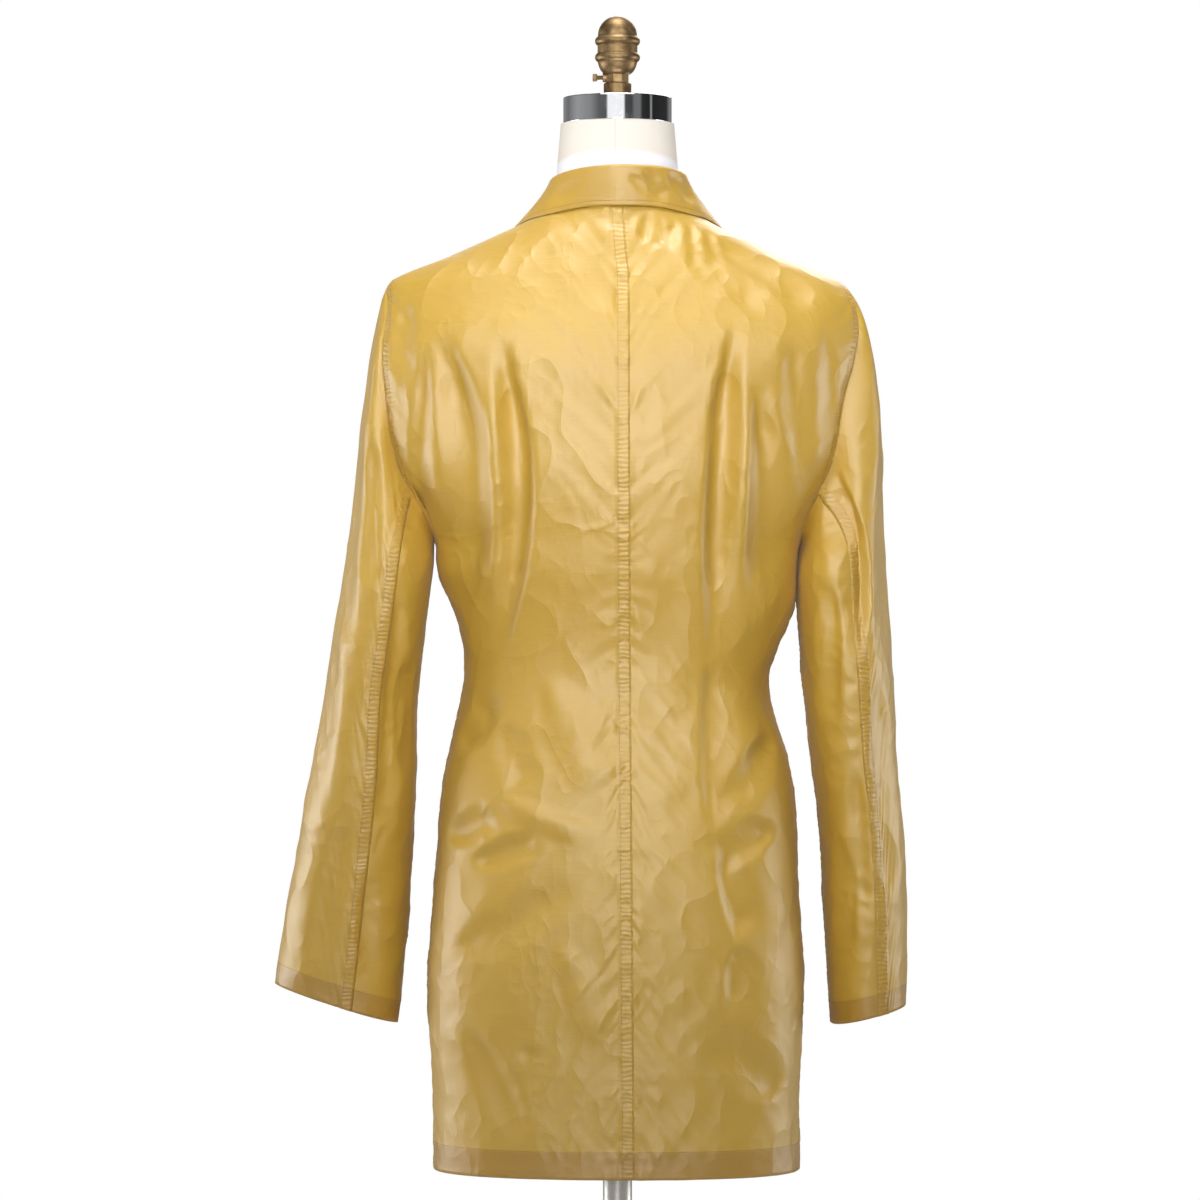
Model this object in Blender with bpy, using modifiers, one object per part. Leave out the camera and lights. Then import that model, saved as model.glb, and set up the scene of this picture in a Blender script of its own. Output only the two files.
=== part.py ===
"""Golden-yellow nylon raincoat worn by a limbless dress form on its stand.

Metres, +Z up. The origin is the centre of the stand's underside, on the form's axis. The coat's
front faces -Y and its back +Y, so the coat's left side is +X.

Each cloth piece is an open surface of its own, cut at its seams, with a Solidify wall. The
surfaces are worked out from level tables: a row for each height of the body, each section of a
sleeve, each station of the collar and each large fold.
"""

import math

import bmesh
import bpy
import numpy as np
from mathutils import Matrix, Vector

# Cloth
WALL = 0.0012
SEAM_GAP = 0.0003
SLEEVE_SEAM_GAP = 0.0007     # at the armhole, where the cloth also bends
ROLL_RADIUS = 0.0016         # of the lapel's fold, to the middle of the wall
COLLAR_ROLL_RADIUS = 0.0022
COLLAR_BOW = 0.0004

# Heights that the body's pieces share
HEM_Z = 0.572
UNDERARM_Z = 1.110
SHOULDER_Z = 1.335           # the outer end of the shoulder seam
NECK_SIDE_Z = 1.392          # where the shoulder seam meets the collar
NECK_BACK_Z = 1.400
ROLL_TOP_Z = 1.370           # where the lapel's fold meets the collar

# Armhole: how far its seam lies behind and in front of the shoulder seam
ARMHOLE_BACK = 0.052
ARMHOLE_FRONT = 0.056

# Front opening
OVERLAP = 0.022              # each front's edge past the centre front
BREAK_Z = 1.135              # the foot of the right lapel's fold, at the front edge
ROLL_TOP_X = 0.0575
LEFT_BREAK_Z = 1.222         # the left lapel comes out from under the right front here
LAP_LIFT = 0.0024            # how far the right front lies outside the left one
LAP_START_X = -0.060         # where it begins to lift, towards the centre front
LAP_START_WIDTH = 0.030
LAP_FADE_Z = 0.050           # the lift dies out over this height above LEFT_BREAK_Z
LAPEL_SHARES = (0.34, 0.67, 1.0)

# Grid steps
SKIRT_ROWS = 14
ARMHOLE_ROWS = 10
SHOULDER_ROWS = 5
BACK_COLUMNS = 11
FRONT_COLUMNS = 10
SLEEVE_HEAD_ROWS = 8
SLEEVE_TUBE_ROWS = 10
FORM_SIDES = 28
FORM_STEP = 0.050

# Buttons
BUTTON_RADIUS = 0.009
BUTTON_THICKNESS = 0.0026
BUTTON_HEIGHTS = (1.115, 1.005, 0.895, 0.785)

# Neck ring, finial and thumbscrew
RING_BOTTOM_Z = 1.4694
RING_TOP_Z = 1.4917
RING_RADIUS = 0.0466
FINIAL_BOTTOM_Z = RING_TOP_Z + SEAM_GAP
BOSS_Z = 1.5092
BOSS_RADIUS = 0.0040
BOSS_END_X = 0.0128
BORE_RADIUS = 0.0024
BORE_BOTTOM_X = 0.0072
SCREW_RADIUS = 0.0020
SCREW_TIP_X = 0.0076
SCREW_HEAD_X = 0.0174
SCREW_HEAD_RADIUS = 0.0033
SCREW_HEAD_LENGTH = 0.0040

# Stand
TORSO_BOTTOM_Z = 0.745
POLE_RADIUS = 0.0125
BASE_RADIUS = 0.170
BASE_EDGE = 0.010
BASE_HUB_RADIUS = 0.030
BASE_HUB_Z = 0.045


def table(columns, *rows):
    """A table with a named column for each word of its heading."""
    return {name: np.array([row[i] for row in rows], float)
            for i, name in enumerate(columns.split())}


# The coat's body at rest: half widths to its left and right side, and how far its centre back
# and centre front lie behind and in front of the axis. square is the outline's exponent.
COAT = table(
    "z       left    right   back    front   square",
    (0.572,  0.1575, 0.1561, 0.0980, 0.1040, 2.35),
    (0.664,  0.1592, 0.1561, 0.1030, 0.1070, 2.35),
    (0.733,  0.1630, 0.1590, 0.1080, 0.1100, 2.35),
    (0.819,  0.1565, 0.1543, 0.1110, 0.1120, 2.35),
    (0.922,  0.1456, 0.1457, 0.1010, 0.1060, 2.30),
    (0.998,  0.1308, 0.1294, 0.0920, 0.1000, 2.25),
    (1.060,  0.1435, 0.1520, 0.1010, 0.1090, 2.25),
    (1.085,  0.1540, 0.1535, 0.1070, 0.1160, 2.28),
    (1.110,  0.1572, 0.1565, 0.1120, 0.1220, 2.30),
    (1.145,  0.1790, 0.1740, 0.1170, 0.1270, 2.35),
    (1.180,  0.1990, 0.1930, 0.1190, 0.1265, 2.40),
    (1.230,  0.2100, 0.2040, 0.1190, 0.1210, 2.40),
    (1.285,  0.2110, 0.2150, 0.1130, 0.1080, 2.35),
    (1.315,  0.2040, 0.2090, 0.1010, 0.0970, 2.25),
    (1.3352, 0.1918, 0.1876, 0.0920, 0.0860, 2.15),
    (1.3524, 0.1515, 0.1473, 0.0840, 0.0740, 2.10),
    (1.3696, 0.1115, 0.1108, 0.0755, 0.0610, 2.05),
    (1.3834, 0.0812, 0.0820, 0.0675, 0.0500, 2.00),
    (1.3920, 0.0680, 0.0690, 0.0638, 0.0440, 2.00),
    (1.4000, 0.0600, 0.0600, 0.0600, 0.0400, 2.00),
)

# The centre back seam runs a little to the coat's right of the axis.
CENTRE_BACK = table(
    "z       x",
    (0.572, -0.0086),
    (1.050, -0.0052),
    (1.400, -0.0040),
)

# The lapel's width, from its fold to its outer edge.
LAPEL = table(
    "z       left    right",
    (1.135,  0.0000, 0.0000),
    (1.165,  0.0000, 0.0200),
    (1.200,  0.0000, 0.0410),
    (1.222,  0.0000, 0.0520),
    (1.250,  0.0560, 0.0630),
    (1.300,  0.0790, 0.0790),
    (1.316,  0.0780, 0.0780),
    (1.334,  0.0430, 0.0430),
    (1.352,  0.0230, 0.0230),
    (1.370,  0.0060, 0.0060),
)

# Sleeves below the head: the sides away from and next to the body, the middle's y, half the
# depth, and how much lower the inner side of the section lies than the outer one.
SLEEVES = {
    "left": table(
        "z      outer   inner   y        depth   drop",
        (1.086, 0.2365, 0.1585, -0.0010, 0.0660, 0.000),
        (1.040, 0.2430, 0.1640, -0.0030, 0.0640, 0.000),
        (0.974, 0.2545, 0.1724, -0.0080, 0.0600, 0.002),
        (0.922, 0.2622, 0.1725, -0.0130, 0.0570, 0.006),
        (0.871, 0.2705, 0.1755, -0.0200, 0.0540, 0.012),
        (0.768, 0.2893, 0.1840, -0.0360, 0.0500, 0.026),
        (0.711, 0.2971, 0.1908, -0.0440, 0.0470, 0.034),
    ),
    "right": table(
        "z      outer   inner   y        depth   drop",
        (1.086, 0.2325, 0.1550, -0.0010, 0.0670, 0.000),
        (1.040, 0.2350, 0.1560, -0.0030, 0.0670, 0.000),
        (0.974, 0.2386, 0.1610, -0.0080, 0.0660, 0.000),
        (0.922, 0.2412, 0.1670, -0.0130, 0.0650, 0.002),
        (0.871, 0.2455, 0.1745, -0.0190, 0.0640, 0.006),
        (0.768, 0.2510, 0.1805, -0.0330, 0.0620, 0.012),
        (0.702, 0.2510, 0.1855, -0.0400, 0.0600, 0.017),
    ),
}

# Turns round a sleeve's section, 0 on the outer side, 90 at the back: the two lengthways seams,
# and the places round the armhole that they start from, as steps of its ring.
SLEEVE_SEAMS = {
    "left": {"back_turn": 99.0, "front_turn": 212.0, "back_step": 7, "front_step": 12},
    "right": {"back_turn": 76.0, "front_turn": 190.0, "back_step": 7, "front_step": 11},
}

# How far the sleeve's head swells out from the shoulder, as a share of its height.
SLEEVE_SWELL = {"left": 0.21, "right": 0.42}
# The way that the sleeve's head leaves the armhole: outward, more at the top, and down.
SLEEVE_LEAVE_OUT = 0.62
SLEEVE_LEAVE_TOP = 0.12
SLEEVE_LEAVE_ALONG = 0.22
SLEEVE_LEAVE_DOWN = 0.72
SLEEVE_ARRIVE = 1.05
SLEEVE_SQUARE = 0.92         # the exponent of a sleeve's section
SLEEVE_GIRTH = 0.055         # metres for each radian round the section, for its folds

# The collar, from the centre back (turn 90) to its front end: where it is sewn on, how high it
# stands and how much less on its left side, how far the fold leans in, and where its outer edge
# lies on the coat.
COLLAR = table(
    "turn    neck_z  stand   left_drop lean     edge_turn edge_z  edge_lift",
    (90.0,   1.4000, 0.0285, 0.0000,   -0.0010, 90.0,     1.3935, 0.0080),
    (60.0,   1.3985, 0.0290, 0.0010,    0.0010, 62.0,     1.3925, 0.0075),
    (30.0,   1.3950, 0.0300, 0.0030,    0.0070, 36.0,     1.3880, 0.0060),
    (0.0,    1.3920, 0.0290, 0.0045,    0.0130,  6.0,     1.3838, 0.0045),
    (-25.0,  1.3870, 0.0235, 0.0035,    0.0120, -24.0,    1.3725, 0.0045),
    (-45.0,  1.3780, 0.0145, 0.0010,    0.0080, -38.0,    1.3600, 0.0050),
    (-58.0,  1.3700, 0.0090, 0.0000,    0.0030, -47.0,    1.3490, 0.0055),
)

# Dress form: sections of the torso and neck.
FORM = table(
    "z       half    back    front   square",
    (0.745,  0.1410, 0.0960, 0.0940, 2.30),
    (0.800,  0.1435, 0.0990, 0.0960, 2.30),
    (0.850,  0.1400, 0.0980, 0.0940, 2.30),
    (0.920,  0.1300, 0.0860, 0.0880, 2.25),
    (1.000,  0.1175, 0.0750, 0.0800, 2.20),
    (1.060,  0.1290, 0.0830, 0.0920, 2.20),
    (1.120,  0.1450, 0.0960, 0.1090, 2.25),
    (1.180,  0.1590, 0.1010, 0.1120, 2.30),
    (1.240,  0.1710, 0.1020, 0.1030, 2.30),
    (1.290,  0.1800, 0.0960, 0.0900, 2.25),
    (1.320,  0.1835, 0.0870, 0.0800, 2.15),
    (1.3352, 0.1838, 0.0835, 0.0750, 2.10),
    (1.3524, 0.1440, 0.0765, 0.0640, 2.10),
    (1.3696, 0.1072, 0.0678, 0.0530, 2.05),
    (1.3834, 0.0770, 0.0598, 0.0450, 2.00),
    (1.3960, 0.0600, 0.0540, 0.0470, 2.00),
    (1.4150, 0.0535, 0.0525, 0.0500, 2.00),
    (1.4400, 0.0512, 0.0512, 0.0505, 2.00),
    (1.4691, 0.0488, 0.0488, 0.0488, 2.00),
)

# The largest folds of the body, as seen square on: a curve from top to foot, its half width and
# its depth into the cloth. A ridge has a negative depth.
BACK_FOLDS = table(
    "top_x    top_z  mid_x    mid_z  foot_x   foot_z width   depth",
    (0.0950,  1.300, 0.0760,  1.180, 0.0800,  0.960, 0.0175,  0.0090),
    (0.1080,  1.270, 0.1050,  1.150, 0.1100,  1.020, 0.0150, -0.0050),
    (0.1600,  1.300, 0.1450,  1.230, 0.1450,  1.150, 0.0160,  0.0075),
    (0.1250,  1.200, 0.1180,  1.120, 0.1100,  1.040, 0.0130,  0.0050),
    (-0.0990, 1.300, -0.0800, 1.190, -0.0750, 0.960, 0.0175,  0.0095),
    (-0.1150, 1.240, -0.1130, 1.150, -0.1050, 1.000, 0.0140,  0.0055),
    (-0.1000, 1.260, -0.0990, 1.150, -0.1000, 0.980, 0.0120, -0.0030),
    (-0.1400, 1.270, -0.1430, 1.200, -0.1380, 1.130, 0.0150,  0.0050),
    (-0.0720, 1.020, -0.0730, 0.920, -0.0600, 0.800, 0.0180,  0.0040),
    (0.1180,  0.910, 0.0850,  0.885, 0.0500,  0.868, 0.0150, -0.0040),
    (0.1400,  1.060, 0.1150,  1.020, 0.0900,  0.960, 0.0140,  0.0045),
)
FRONT_FOLDS = table(
    "top_x    top_z  mid_x    mid_z  foot_x   foot_z width   depth",
    (0.1100,  1.200, 0.0900,  1.080, 0.0850,  0.940, 0.0160,  0.0060),
    (-0.1150, 1.190, -0.0950, 1.060, -0.0800, 0.930, 0.0170,  0.0060),
    (0.1300,  0.960, 0.1050,  0.860, 0.1000,  0.700, 0.0180,  0.0045),
    (-0.1250, 0.940, -0.1050, 0.840, -0.0950, 0.680, 0.0180,  0.0050),
)
# The largest folds of the sleeves: turns round the section, heights, half width and depth.
SLEEVE_FOLDS = {
    "left": table(
        "top_turn top_z  mid_turn mid_z  foot_turn foot_z width  depth",
        (60.0,    1.240, 75.0,    1.120, 70.0,     1.000, 0.016, 0.0050),
        (140.0,   1.060, 120.0,   0.980, 100.0,    0.900, 0.015, 0.0050),
        (50.0,    0.960, 60.0,    0.870, 75.0,     0.770, 0.016, 0.0045),
        (250.0,   1.150, 270.0,   1.000, 290.0,    0.860, 0.017, 0.0060),
    ),
    "right": table(
        "top_turn top_z  mid_turn mid_z  foot_turn foot_z width  depth",
        (120.0,   1.150, 112.0,   1.060, 100.0,    0.940, 0.018, 0.0085),
        (55.0,    1.200, 50.0,    1.080, 60.0,     0.960, 0.015, 0.0045),
        (60.0,    0.930, 65.0,    0.850, 50.0,     0.760, 0.015, 0.0045),
        (255.0,   1.150, 270.0,   1.000, 285.0,    0.860, 0.017, 0.0060),
    ),
}


# ---------------------------------------------------------------- curves and surfaces

def curve(xs, ys, x):
    """The natural cubic spline through the points (xs, ys), read at x."""
    x = np.asarray(x, float)
    step = np.diff(xs)
    slope = np.diff(ys) / step
    bend = np.zeros(len(xs))
    system = (np.diag(2 * (step[:-1] + step[1:])) + np.diag(step[1:-1], 1)
              + np.diag(step[1:-1], -1))
    bend[1:-1] = np.linalg.solve(system, 6 * np.diff(slope))
    i = np.clip(np.searchsorted(xs, x, side="right") - 1, 0, len(step) - 1)
    before, after = xs[i + 1] - x, x - xs[i]
    cubic = (bend[i] * before**3 + bend[i + 1] * after**3) / (6 * step[i])
    linear = ((ys[i] / step[i] - bend[i] * step[i] / 6) * before
              + (ys[i + 1] / step[i] - bend[i + 1] * step[i] / 6) * after)
    return cubic + linear


def smooth(t):
    """An even step from 0 to 1."""
    t = np.clip(t, 0.0, 1.0)
    return t * t * (3 - 2 * t)


def signed_power(value, power):
    return np.sign(value) * np.abs(value) ** power


def unit(vectors):
    return vectors / np.maximum(np.linalg.norm(vectors, axis=-1, keepdims=True), 1e-12)


def section(sections, half_column, turn, z):
    """A point of a level section: turn 0 at the side, 90 at the centre back, -90 in front."""
    half = curve(sections["z"], sections[half_column], z)
    back = curve(sections["z"], sections["back"], z)
    front = curve(sections["z"], sections["front"], z)
    power = 2.0 / curve(sections["z"], sections["square"], z)
    angle = np.radians(turn)
    across = signed_power(np.cos(angle), power)
    along = signed_power(np.sin(angle), power)
    return half * across, np.where(along > 0, back, front) * along, across


def coat_point(side, turn, z):
    """A point of the coat's body on its left (side 1) or right (side -1)."""
    turn, z = np.broadcast_arrays(np.asarray(turn, float), np.asarray(z, float))
    x, y, across = section(COAT, "left" if side > 0 else "right", turn, z)
    seam = curve(CENTRE_BACK["z"], CENTRE_BACK["x"], z)
    shift = np.where(y > 0, seam * (1 - across**2), 0.0)
    return np.stack([side * x + shift, y, z], axis=-1)


def coat_normal(side, turn, z):
    """The outward normal of the coat's body."""
    turn_step, z_step = 0.4, 0.001
    round_it = coat_point(side, turn + turn_step, z) - coat_point(side, turn - turn_step, z)
    up_it = coat_point(side, turn, z + z_step) - coat_point(side, turn, z - z_step)
    normal = unit(np.cross(up_it, round_it))
    outward = normal[..., :2] * coat_point(side, turn, z)[..., :2]
    return normal * np.sign(outward.sum(axis=-1, keepdims=True))


def turn_at_x(side, x, z):
    """The turn at which the front's section reaches x."""
    half = curve(COAT["z"], COAT["left" if side > 0 else "right"], z)
    power = 2.0 / curve(COAT["z"], COAT["square"], z)
    return -np.degrees(np.arccos(signed_power(side * x / half, 1 / power)))


def turn_at_depth(y, z, column):
    """The turn at which the section reaches y behind or in front of the axis."""
    power = 2.0 / curve(COAT["z"], COAT["square"], z)
    return np.degrees(np.arcsin((y / curve(COAT["z"], COAT[column], z)) ** (1 / power)))


def even_points(line, count, start_trim, end_trim):
    """count + 1 places at even steps along a line, as fractions of its point numbers."""
    length = np.concatenate(([0.0], np.cumsum(np.linalg.norm(np.diff(line, axis=0), axis=1))))
    wanted = np.linspace(start_trim, length[-1] - end_trim, count + 1)
    return np.interp(wanted, length, np.linspace(0.0, 1.0, len(line)))


def fold_depth(folds, across, along):
    """How far the folds press in the points that lie at (across, along) in the folds' plane."""
    names = [name for name in folds if name not in ("width", "depth")]
    depth = np.zeros_like(across)
    steps = np.linspace(0.0, 1.0, 25)
    for row in zip(*(folds[name] for name in names), folds["width"], folds["depth"]):
        top, mid, foot = np.array(row[0:2]), np.array(row[2:4]), np.array(row[4:6])
        width, deep = row[6], row[7]
        bend = 2 * mid - (top + foot) / 2
        path = (np.outer((1 - steps)**2, top) + np.outer(2 * steps * (1 - steps), bend)
                + np.outer(steps**2, foot))
        gap = np.hypot(across[..., None] - path[:, 0], along[..., None] - path[:, 1])
        nearest = gap.argmin(axis=-1)
        fade = np.sin(np.pi * (0.08 + 0.84 * steps[nearest])) ** 0.8
        depth += deep * fade * np.exp(-(gap.min(axis=-1) / width)**2)
    return depth


def coat_cloth(side, turn, z):
    """A point of the coat's body with its folds."""
    point = coat_point(side, turn, z)
    behind = point[..., 1] > 0
    depth = np.where(behind, fold_depth(BACK_FOLDS, point[..., 0], point[..., 2]),
                     fold_depth(FRONT_FOLDS, point[..., 0], point[..., 2]))
    depth = depth * smooth(np.abs(point[..., 1]) / 0.05)
    return point - coat_normal(side, turn, z) * depth[..., None]


# ---------------------------------------------------------------- rows of the body's pieces

def roll_x(side, z):
    """The front edge and, above the break, the lapel's fold, as x."""
    climb = np.clip((z - BREAK_Z) / (ROLL_TOP_Z - BREAK_Z), 0.0, 1.0)
    return side * (-OVERLAP + (OVERLAP + ROLL_TOP_X) * climb)


def neckline_z(turn):
    """The height of the line that the collar is sewn to."""
    back = NECK_SIDE_Z + (NECK_BACK_Z - NECK_SIDE_Z) * np.sin(np.radians(turn))**2
    front_end = turn_at_x(1, ROLL_TOP_X, ROLL_TOP_Z)
    share = np.clip(turn / front_end, 0.0, 1.0)
    front = NECK_SIDE_Z + (ROLL_TOP_Z - NECK_SIDE_Z) * smooth(share)
    return np.where(turn >= 0, back, front)


def levels():
    """The rows' outer heights, and how far each row has climbed from shoulder to neck."""
    skirt = np.linspace(HEM_Z, UNDERARM_Z, SKIRT_ROWS + 1)
    swing = np.linspace(math.pi, 0.0, ARMHOLE_ROWS + 1)[1:]
    armhole = UNDERARM_Z + (SHOULDER_Z - UNDERARM_Z) * (1 + np.cos(swing)) / 2
    climb = np.linspace(0.0, 1.0, SHOULDER_ROWS + 1)[1:]
    heights = np.concatenate((skirt, armhole, np.full(SHOULDER_ROWS, SHOULDER_Z)))
    return heights, np.concatenate((np.zeros(len(skirt) + len(armhole)), climb))


def armhole_turn(z, reach, column):
    """The turn of the armhole's seam at a height, 0 at the shoulder and the underarm."""
    middle = (UNDERARM_Z + SHOULDER_Z) / 2
    half = (SHOULDER_Z - UNDERARM_Z) / 2
    swing = np.sqrt(np.clip(1 - ((z - middle) / half)**2, 0.0, 1.0))
    return float(turn_at_depth(reach * swing**0.85, z, column))


def body_row(z, climb, outer_turn, inner_turn):
    """Turns and heights of a dense line from a piece's outer end to its inner one."""
    turns = np.linspace(outer_turn, inner_turn, 90)
    return turns, z + climb * (neckline_z(turns) - z)


def back_grid(side):
    rows = []
    for z, climb in zip(*levels()):
        outer = armhole_turn(z, ARMHOLE_BACK, "back") if UNDERARM_Z < z < SHOULDER_Z else 0.0
        turns, heights = body_row(z, climb, outer, 90.0)
        line = coat_point(side, turns, heights)
        places = even_points(line, BACK_COLUMNS, SEAM_GAP / 2, SEAM_GAP / 2)
        spread = np.linspace(0.0, 1.0, len(turns))
        rows.append(coat_cloth(side, np.interp(places, spread, turns),
                               np.interp(places, spread, heights)))
    return np.array(rows)


def lapel_row(side, turns, heights, roll_point, roll_normal, inward, width):
    """The cloth past the lapel's fold: round the fold, then back over the front."""
    points = []
    centre = roll_point + roll_normal * ROLL_RADIUS
    for angle in (-45.0, 0.0, 45.0, 90.0):
        swing = math.radians(angle)
        points.append(centre + ROLL_RADIUS * (inward * math.cos(swing)
                                              + roll_normal * math.sin(swing)))
    line = coat_point(side, turns[::-1], heights[::-1])
    length = np.concatenate(([0.0], np.cumsum(np.linalg.norm(np.diff(line, axis=0), axis=1))))
    for share in LAPEL_SHARES:
        turn = np.interp(width * share, length, turns[::-1])
        z = np.interp(width * share, length, heights[::-1])
        lift = 2 * ROLL_RADIUS + lap_lift(side, float(coat_point(side, turn, z)[0]), z)
        points.append(coat_cloth(side, turn, z) + coat_normal(side, turn, z) * lift)
    return points


def lap_lift(side, x, z):
    """How far the right front lies off the body where it laps over the left one."""
    near_centre = smooth((x - LAP_START_X) / LAP_START_WIDTH)
    lift = LAP_LIFT * near_centre * (1 - smooth((z - LEFT_BREAK_Z) / LAP_FADE_Z))
    return lift if side < 0 else np.zeros_like(lift)


def front_grids(side):
    """The front's own rows, and the lapel's rows above the break."""
    name = "left" if side > 0 else "right"
    break_z = LEFT_BREAK_Z if side > 0 else BREAK_Z
    body, lapel = [], []
    for z, climb in zip(*levels()):
        outer = -armhole_turn(z, ARMHOLE_FRONT, "front") if UNDERARM_Z < z < SHOULDER_Z else 0.0
        inner_z = z + climb * (ROLL_TOP_Z - z)
        inner = float(turn_at_x(side, roll_x(side, inner_z), inner_z))
        turns, heights = body_row(z, climb, outer, inner)
        line = coat_point(side, turns, heights)
        places = even_points(line, FRONT_COLUMNS, SEAM_GAP / 2, 0.0)
        spread = np.linspace(0.0, 1.0, len(turns))
        row_turns = np.interp(places, spread, turns)
        row_heights = np.interp(places, spread, heights)
        row = coat_cloth(side, row_turns, row_heights)
        normals = coat_normal(side, row_turns, row_heights)
        row = row + normals * lap_lift(side, row[:, 0], row[:, 2])[:, None]
        body.append(row)
        if inner_z > break_z:
            inward = unit(row[-1] - row[-2])
            width = float(np.interp(inner_z, LAPEL["z"], LAPEL[name]))
            lapel.append(lapel_row(side, turns, heights, row[-1], normals[-1], inward, width))
        else:
            lapel.append(None)
    return np.array(body), lapel


# ---------------------------------------------------------------- sleeves

def armhole_ring(side):
    """The armhole's edge on the two body pieces, from the shoulder by the back to the underarm
    and by the front again, with the ways out of the cloth and across the seam at each point."""
    back = back_grid(side)
    front = front_grids(side)[0]
    bottom, top = SKIRT_ROWS, SKIRT_ROWS + ARMHOLE_ROWS
    edges, across = [], []
    for grid, rows in ((back, range(top, bottom - 1, -1)), (front, range(bottom + 1, top))):
        for row in rows:
            edges.append(grid[row, 0])
            across.append(unit(grid[row, 0] - grid[row, 1]))
    edges, across = np.array(edges), np.array(across)
    across[0] = (side * 0.92, 0.0, -0.39)
    across[ARMHOLE_ROWS] = (0.0, 0.0, 1.0)
    return edges, across


def sleeve_turns(side, back_turn, front_turn):
    """Turns round the section for the ring's steps, with steps on both seams."""
    seams = SLEEVE_SEAMS["left" if side > 0 else "right"]
    steps = (0, seams["back_step"], seams["front_step"], 2 * ARMHOLE_ROWS)
    return np.interp(np.arange(2 * ARMHOLE_ROWS + 1), steps, (0.0, back_turn, front_turn, 360.0))


def sleeve_section(side, turns, z):
    """The sleeve's ring of points at the height z of its middle."""
    sections = SLEEVES["left" if side > 0 else "right"]
    outer, inner, y, depth, drop = (curve(sections["z"][::-1], sections[name][::-1], z)
                                    for name in ("outer", "inner", "y", "depth", "drop"))
    swing = np.radians(turns)
    across = signed_power(np.cos(swing), SLEEVE_SQUARE)
    x = (outer + inner) / 2 + (outer - inner) / 2 * across
    return np.stack([side * x, y + depth * signed_power(np.sin(swing), SLEEVE_SQUARE),
                     z + drop / 2 * across], axis=-1)


def sleeve_grid(side):
    """Rows of points down the whole sleeve, closed rings whose last point repeats the first."""
    name = "left" if side > 0 else "right"
    seams, sections = SLEEVE_SEAMS[name], SLEEVES[name]
    turns = sleeve_turns(side, seams["back_turn"], seams["front_turn"])
    edges, across = armhole_ring(side)
    edges, across = np.vstack([edges, edges[:1]]), np.vstack([across, across[:1]])
    swing = np.radians(turns)
    away = unit(np.stack([side * (SLEEVE_LEAVE_OUT + SLEEVE_LEAVE_TOP * np.cos(swing)),
                          SLEEVE_LEAVE_ALONG * np.sin(swing),
                          np.full_like(swing, -SLEEVE_LEAVE_DOWN)], axis=-1))
    ring_way = unit(np.roll(edges[:-1], -1, axis=0) - np.roll(edges[:-1], 1, axis=0))
    ring_way = np.vstack([ring_way, ring_way[:1]])
    normal = unit(np.cross(ring_way, across))
    outward = normal * np.sign((normal * np.array([side * 1.0, 0, 0.4])
                                + normal * edges * np.array([0, 8.0, 0])).sum(axis=-1,
                                                                             keepdims=True))
    bend = (away * across).sum(axis=-1, keepdims=True)
    folds_out = ((away * outward).sum(axis=-1, keepdims=True) > 0) * (1 - bend) / 2
    start = edges + across * SLEEVE_SEAM_GAP + outward * folds_out * (WALL + SLEEVE_SEAM_GAP)

    top_z = sections["z"][0]
    first = sleeve_section(side, turns, top_z)
    below = sleeve_section(side, turns, top_z - 0.01)
    chord = np.linalg.norm(first - start, axis=-1, keepdims=True)
    leave = away * chord * SLEEVE_SWELL[name]
    arrive = unit(below - first) * chord * SLEEVE_ARRIVE
    rows = []
    for t in np.linspace(0.0, 1.0, SLEEVE_HEAD_ROWS + 1)[:-1] ** 1.15:
        rows.append((2 * t**3 - 3 * t**2 + 1) * start + (t**3 - 2 * t**2 + t) * leave
                    + (3 * t**2 - 2 * t**3) * first + (t**3 - t**2) * arrive)
    for z in np.linspace(top_z, sections["z"][-1], SLEEVE_TUBE_ROWS + 1):
        rows.append(sleeve_section(side, turns, z))
    return fold_sleeve(side, np.array(rows), turns)


def fold_sleeve(side, grid, turns):
    """Presses the sleeve's folds in towards its middle, none at the armhole's seam."""
    folds = dict(SLEEVE_FOLDS["left" if side > 0 else "right"])
    sections = SLEEVES["left" if side > 0 else "right"]
    for column in ("top_turn", "mid_turn", "foot_turn"):
        folds[column] = np.radians(folds[column]) * SLEEVE_GIRTH
    across = np.broadcast_to(np.radians(turns) * SLEEVE_GIRTH, grid.shape[:2])
    depth = fold_depth(folds, across, grid[..., 2])
    row_share = np.arange(len(grid))[:, None] / SLEEVE_HEAD_ROWS
    depth = depth * smooth(row_share * 1.6)
    z = np.minimum(grid[..., 2], sections["z"][0])
    middle_x = side * (curve(sections["z"][::-1], sections["outer"][::-1], z)
                       + curve(sections["z"][::-1], sections["inner"][::-1], z)) / 2
    middle = np.stack([middle_x, curve(sections["z"][::-1], sections["y"][::-1], z),
                       grid[..., 2]], axis=-1)
    return grid + unit(middle - grid) * depth[..., None]


def cut_out(grid, first, last):
    """The sleeve's columns from first round to last, drawn back from the seams at both ends by
    half the seam's gap, and by more where the cloth bends there."""
    steps = grid.shape[1] - 1
    columns = [column % steps for column in range(first, last + 1)]
    piece = grid[:, columns].copy()
    for end, inside in ((0, 1), (-1, -2)):
        seam = columns[end]
        before = unit(grid[:, seam] - grid[:, (seam - 1) % steps])
        after = unit(grid[:, (seam + 1) % steps] - grid[:, seam])
        bend = np.arccos(np.clip((before * after).sum(axis=1), -1.0, 1.0))
        trim = SEAM_GAP / 2 + WALL / 2 * np.tan(bend / 2)
        piece[:, end] += unit(piece[:, inside] - piece[:, end]) * trim[:, None]
    return piece


# ---------------------------------------------------------------- collar

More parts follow.
